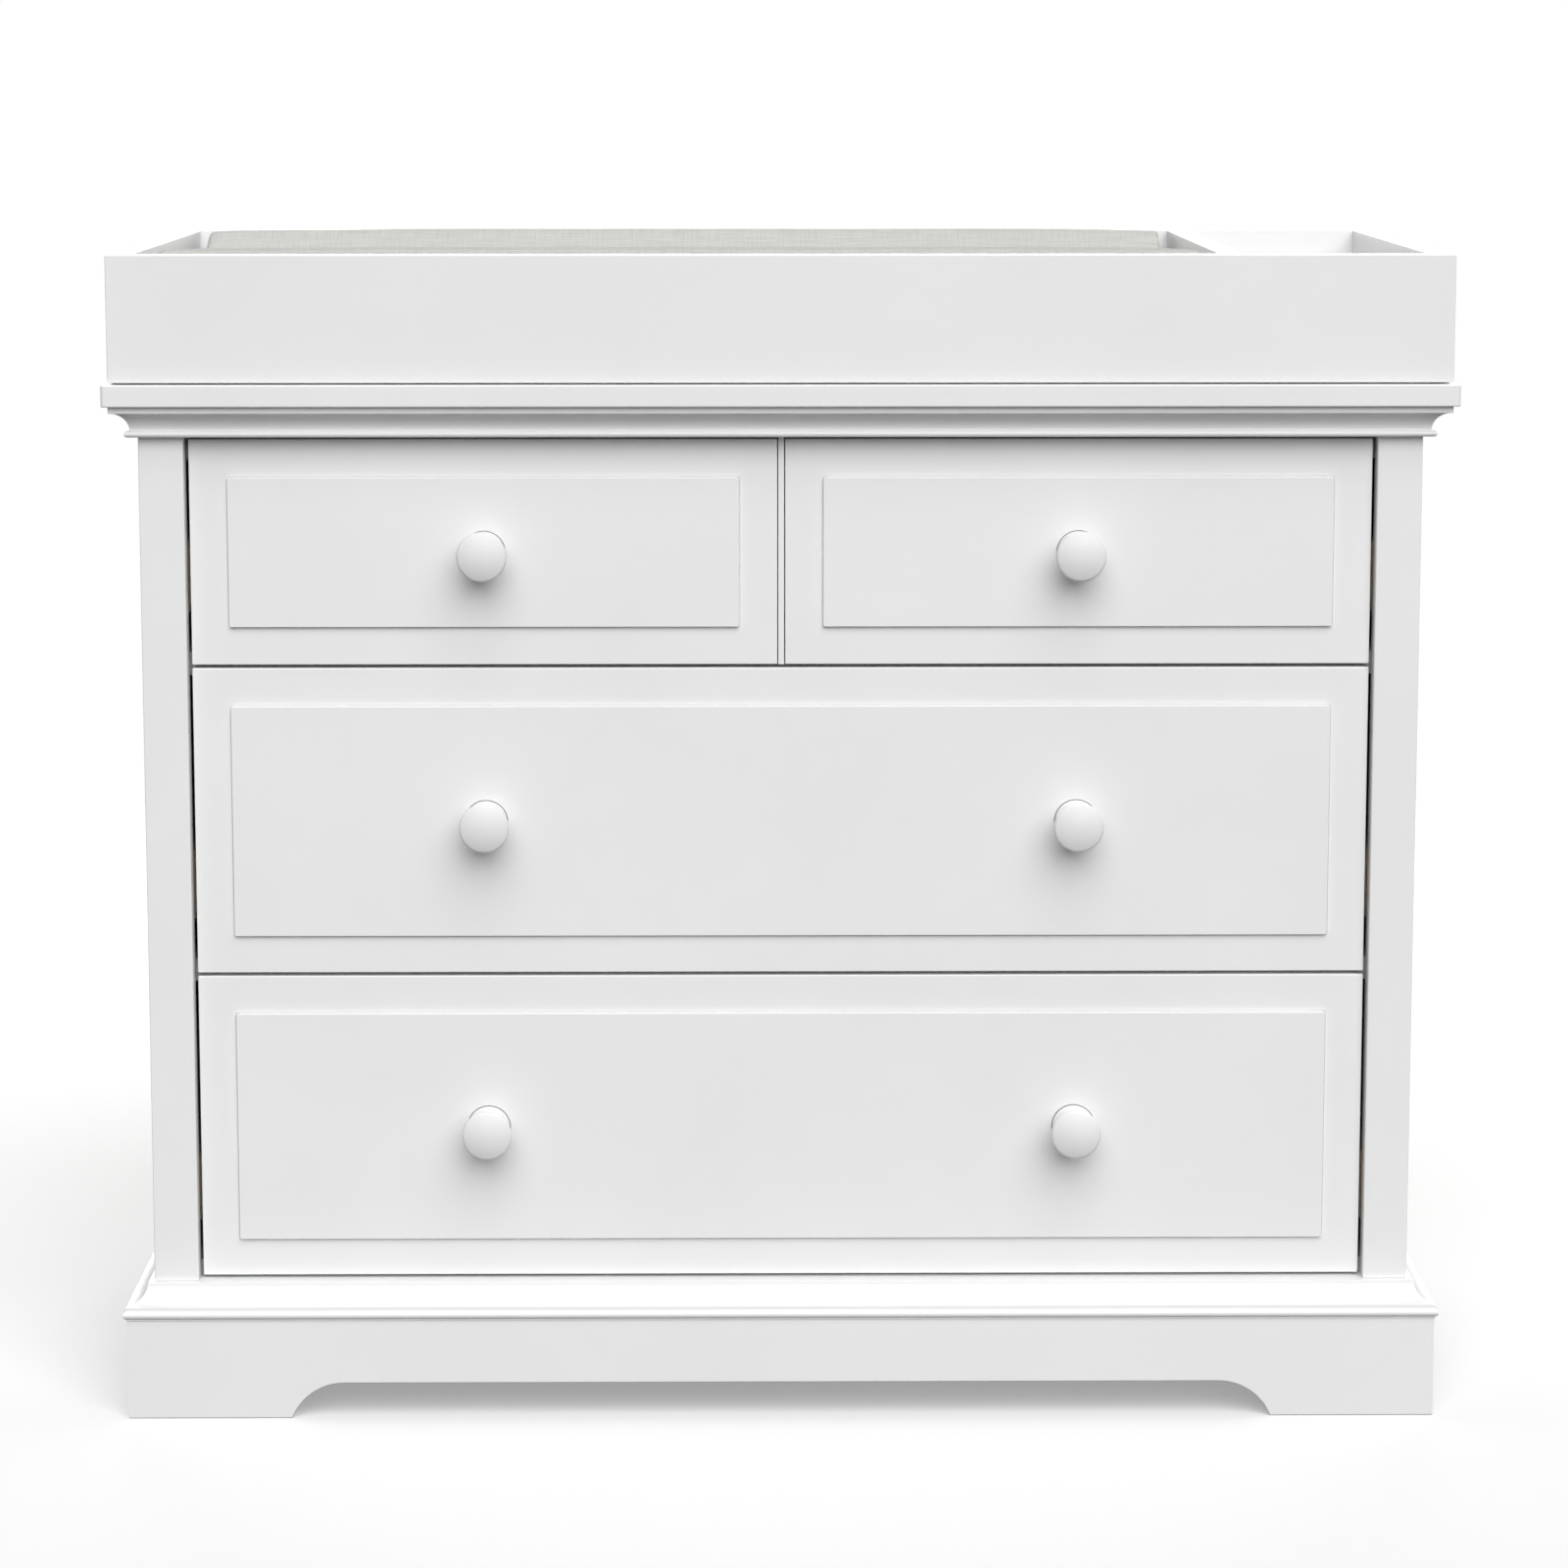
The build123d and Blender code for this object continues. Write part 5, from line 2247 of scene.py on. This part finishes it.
@dataclass
class Studio:
    """Plain pale floor, soft lamps, a pale surround and the camera.

    Attributes:
        ambient: Strength of the even light from all round.
        key_strength: Strength of the main light.
        key_rise: Its height over the floor, in degrees.
        key_turn: How far it stands to the right of straight ahead, in degrees.
        key_spread: How wide it is, in degrees.
        key_place: Where its object is kept, which doesn't change the light.
        rear: Lamp behind the dresser.
        side: Lamp at the right, which is mirrored to the left.
        aim: The point that the lamps face.
        floor_reach: Half of the floor's width.
        floor_level: Height of the floor.
        floor_seen: The floor's colour to the eye.
        floor_lit: The floor's colour for the light that it throws back.
        fade: How the distance from the middle becomes the floor's part of white.
        camera_place: Where the camera stands.
        pitch: How far it looks down, in degrees.
        yaw: How far it looks to the right, in degrees.
        lens: Its focal length in millimetres.
        sensor: Its sensor's width in millimetres.
        shift: How far its picture is shifted down, as a part of the width.
        sight: How far it sees.
    """

    ambient: float = 0.11
    key_strength: float = 3.35
    key_rise: float = 41.0
    key_turn: float = 10.0
    key_spread: float = 64.0
    key_place: Triple = (0.0, 0.0, 4.0)
    rear: Softbox = Softbox(place=(0.0, 3.0, 1.1), size=(3.0, 1.6), power=60.0)
    side: Softbox = Softbox(place=(3.0, 1.4, 1.1), size=(1.8, 1.6), power=12.0)
    aim: Triple = (0.0, 0.0, 0.45)
    floor_reach: float = 9.0
    floor_level: float = -0.2 * MM
    floor_seen: Colour = (0.95, 0.95, 0.95)
    floor_lit: Colour = (0.16, 0.16, 0.16)
    fade: Ramp = Ramp(0.7, 2.8, 0.33)
    camera_place: Triple = (-0.028, -3.6, 1.084)
    pitch: float = 8.0
    yaw: float = 0.51
    lens: float = 100.2
    sensor: float = 36.0
    shift: float = -0.08
    sight: float = 60.0

    def key(self) -> None:
        """Shine the broad main light from high in front, a little from the right."""
        data = bpy.data.lights.new("key_light", "SUN")
        data.energy = self.key_strength
        data.angle = math.radians(self.key_spread)
        lamp = bpy.data.objects.new("key_light", data)
        lamp.location = self.key_place
        tilt = math.radians(90.0 - self.key_rise)
        lamp.rotation_euler = (tilt, 0.0, math.radians(self.key_turn))
        bpy.context.scene.collection.objects.link(lamp)

    def surround(self) -> None:
        """White to the eye and in reflections, and a gentler ambient light on the object."""
        world = bpy.data.worlds.new("pale_surround")
        world.use_nodes = True
        bpy.context.scene.world = world
        tree = world.node_tree
        tree.nodes.clear()
        path = tree.nodes.new("ShaderNodeLightPath")
        seen = path.outputs["Is Camera Ray"]
        for ray in ("Is Transmission Ray", "Is Glossy Ray"):
            either = tree.nodes.new("ShaderNodeMath")
            either.operation = "MAXIMUM"
            tree.links.new(seen, either.inputs[0])
            tree.links.new(path.outputs[ray], either.inputs[1])
            seen = either.outputs[0]
        chosen = tree.nodes.new("ShaderNodeMixShader")
        tree.links.new(seen, chosen.inputs[0])
        for place, strength in ((1, self.ambient), (2, 1.0)):
            light = tree.nodes.new("ShaderNodeBackground")
            light.inputs["Color"].default_value = WHITE
            light.inputs["Strength"].default_value = strength
            tree.links.new(light.outputs[0], chosen.inputs[place])
        output = tree.nodes.new("ShaderNodeOutputWorld")
        tree.links.new(chosen.outputs[0], output.inputs["Surface"])

    def floor_finish(self) -> bpy.types.Material:
        """Pale matt floor whose shadows stay, fading into the white surround with distance.

        Returns:
            The material.
        """
        mix = Recipe("pale_studio_floor")
        seen = mix.node("ShaderNodeLightPath").outputs["Is Camera Ray"]
        tone = mix.blend(seen, self.floor_lit, self.floor_seen)
        mix.set(Base_Color=tone, Roughness=0.9, Specular_IOR_Level=0.1)
        far = mix.node("ShaderNodeVectorMath", {0: mix.place}, operation="LENGTH").outputs["Value"]
        amount = mix.product(mix.spread(far, self.fade), seen)
        white = mix.node("ShaderNodeEmission", {"Color": WHITE, "Strength": 1.0})
        chosen = mix.node(
            "ShaderNodeMixShader", {0: amount, 1: mix.shader.outputs[0], 2: white.outputs[0]}
        )
        output = mix.tree.nodes["Material Output"]
        mix.feed(output.inputs["Surface"], chosen.outputs[0])
        return mix.material

    def floor(self) -> None:
        """Lay a wide plain floor."""
        low, high, level = -self.floor_reach, self.floor_reach, self.floor_level
        corners = [(low, low, level), (high, low, level), (high, high, level), (low, high, level)]
        mesh = bpy.data.meshes.new("studio_floor")
        mesh.from_pydata(corners, [], [(0, 1, 2, 3)])
        mesh.materials.append(self.floor_finish())
        floor = bpy.data.objects.new("studio_floor", mesh)
        bpy.context.scene.collection.objects.link(floor)

    def camera(self) -> None:
        """Set up the camera in front of the dresser, a little above its top."""
        data = bpy.data.cameras.new("front_camera")
        data.lens = self.lens
        data.sensor_width = self.sensor
        data.shift_y = self.shift
        data.clip_end = self.sight
        camera = bpy.data.objects.new("front_camera", data)
        camera.location = self.camera_place
        tilt = math.radians(90.0 - self.pitch)
        camera.rotation_euler = (tilt, 0.0, -math.radians(self.yaw))
        bpy.context.scene.collection.objects.link(camera)
        bpy.context.scene.camera = camera

    def build(self) -> None:
        """Set up the whole studio."""
        self.surround()
        self.floor()
        self.key()
        self.rear.hang("rear_softbox", self.aim)
        for side in Side:
            place = (side.value * self.side.place[0], *self.side.place[1:])
            lamp = Softbox(place, self.side.size, self.side.power)
            lamp.hang(f"side_softbox_{side.name.lower()}", self.aim)
        self.camera()
        bpy.context.scene.view_settings.view_transform = "Standard"


def clear_scene() -> None:
    """Remove whatever a new file starts with."""
    for thing in list(bpy.data.objects):
        bpy.data.objects.remove(thing, do_unlink=True)


def main() -> None:
    """Load the frame, set up the studio and build every sub-assembly in order."""
    logging.basicConfig(level=logging.INFO, format="%(name)s: %(message)s")
    clear_scene()
    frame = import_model()
    nodes = frame["nodes"]
    Studio().build()
    finishes = Finishes()
    Carcase().build(nodes, finishes)
    DresserTop().build(finishes)
    Cornice().build(finishes)
    Posts().build(finishes)
    Plinth().build(finishes)
    for body in (Body.TOP_LEFT, Body.TOP_RIGHT):
        Drawer(body, 1).build(nodes, finishes)
    for body in (Body.MIDDLE, Body.BOTTOM):
        Drawer(body, 2).build(nodes, finishes)
    Topper().build(finishes)
    ChangingPad().build(finishes)


if __name__ == "__main__":
    main()
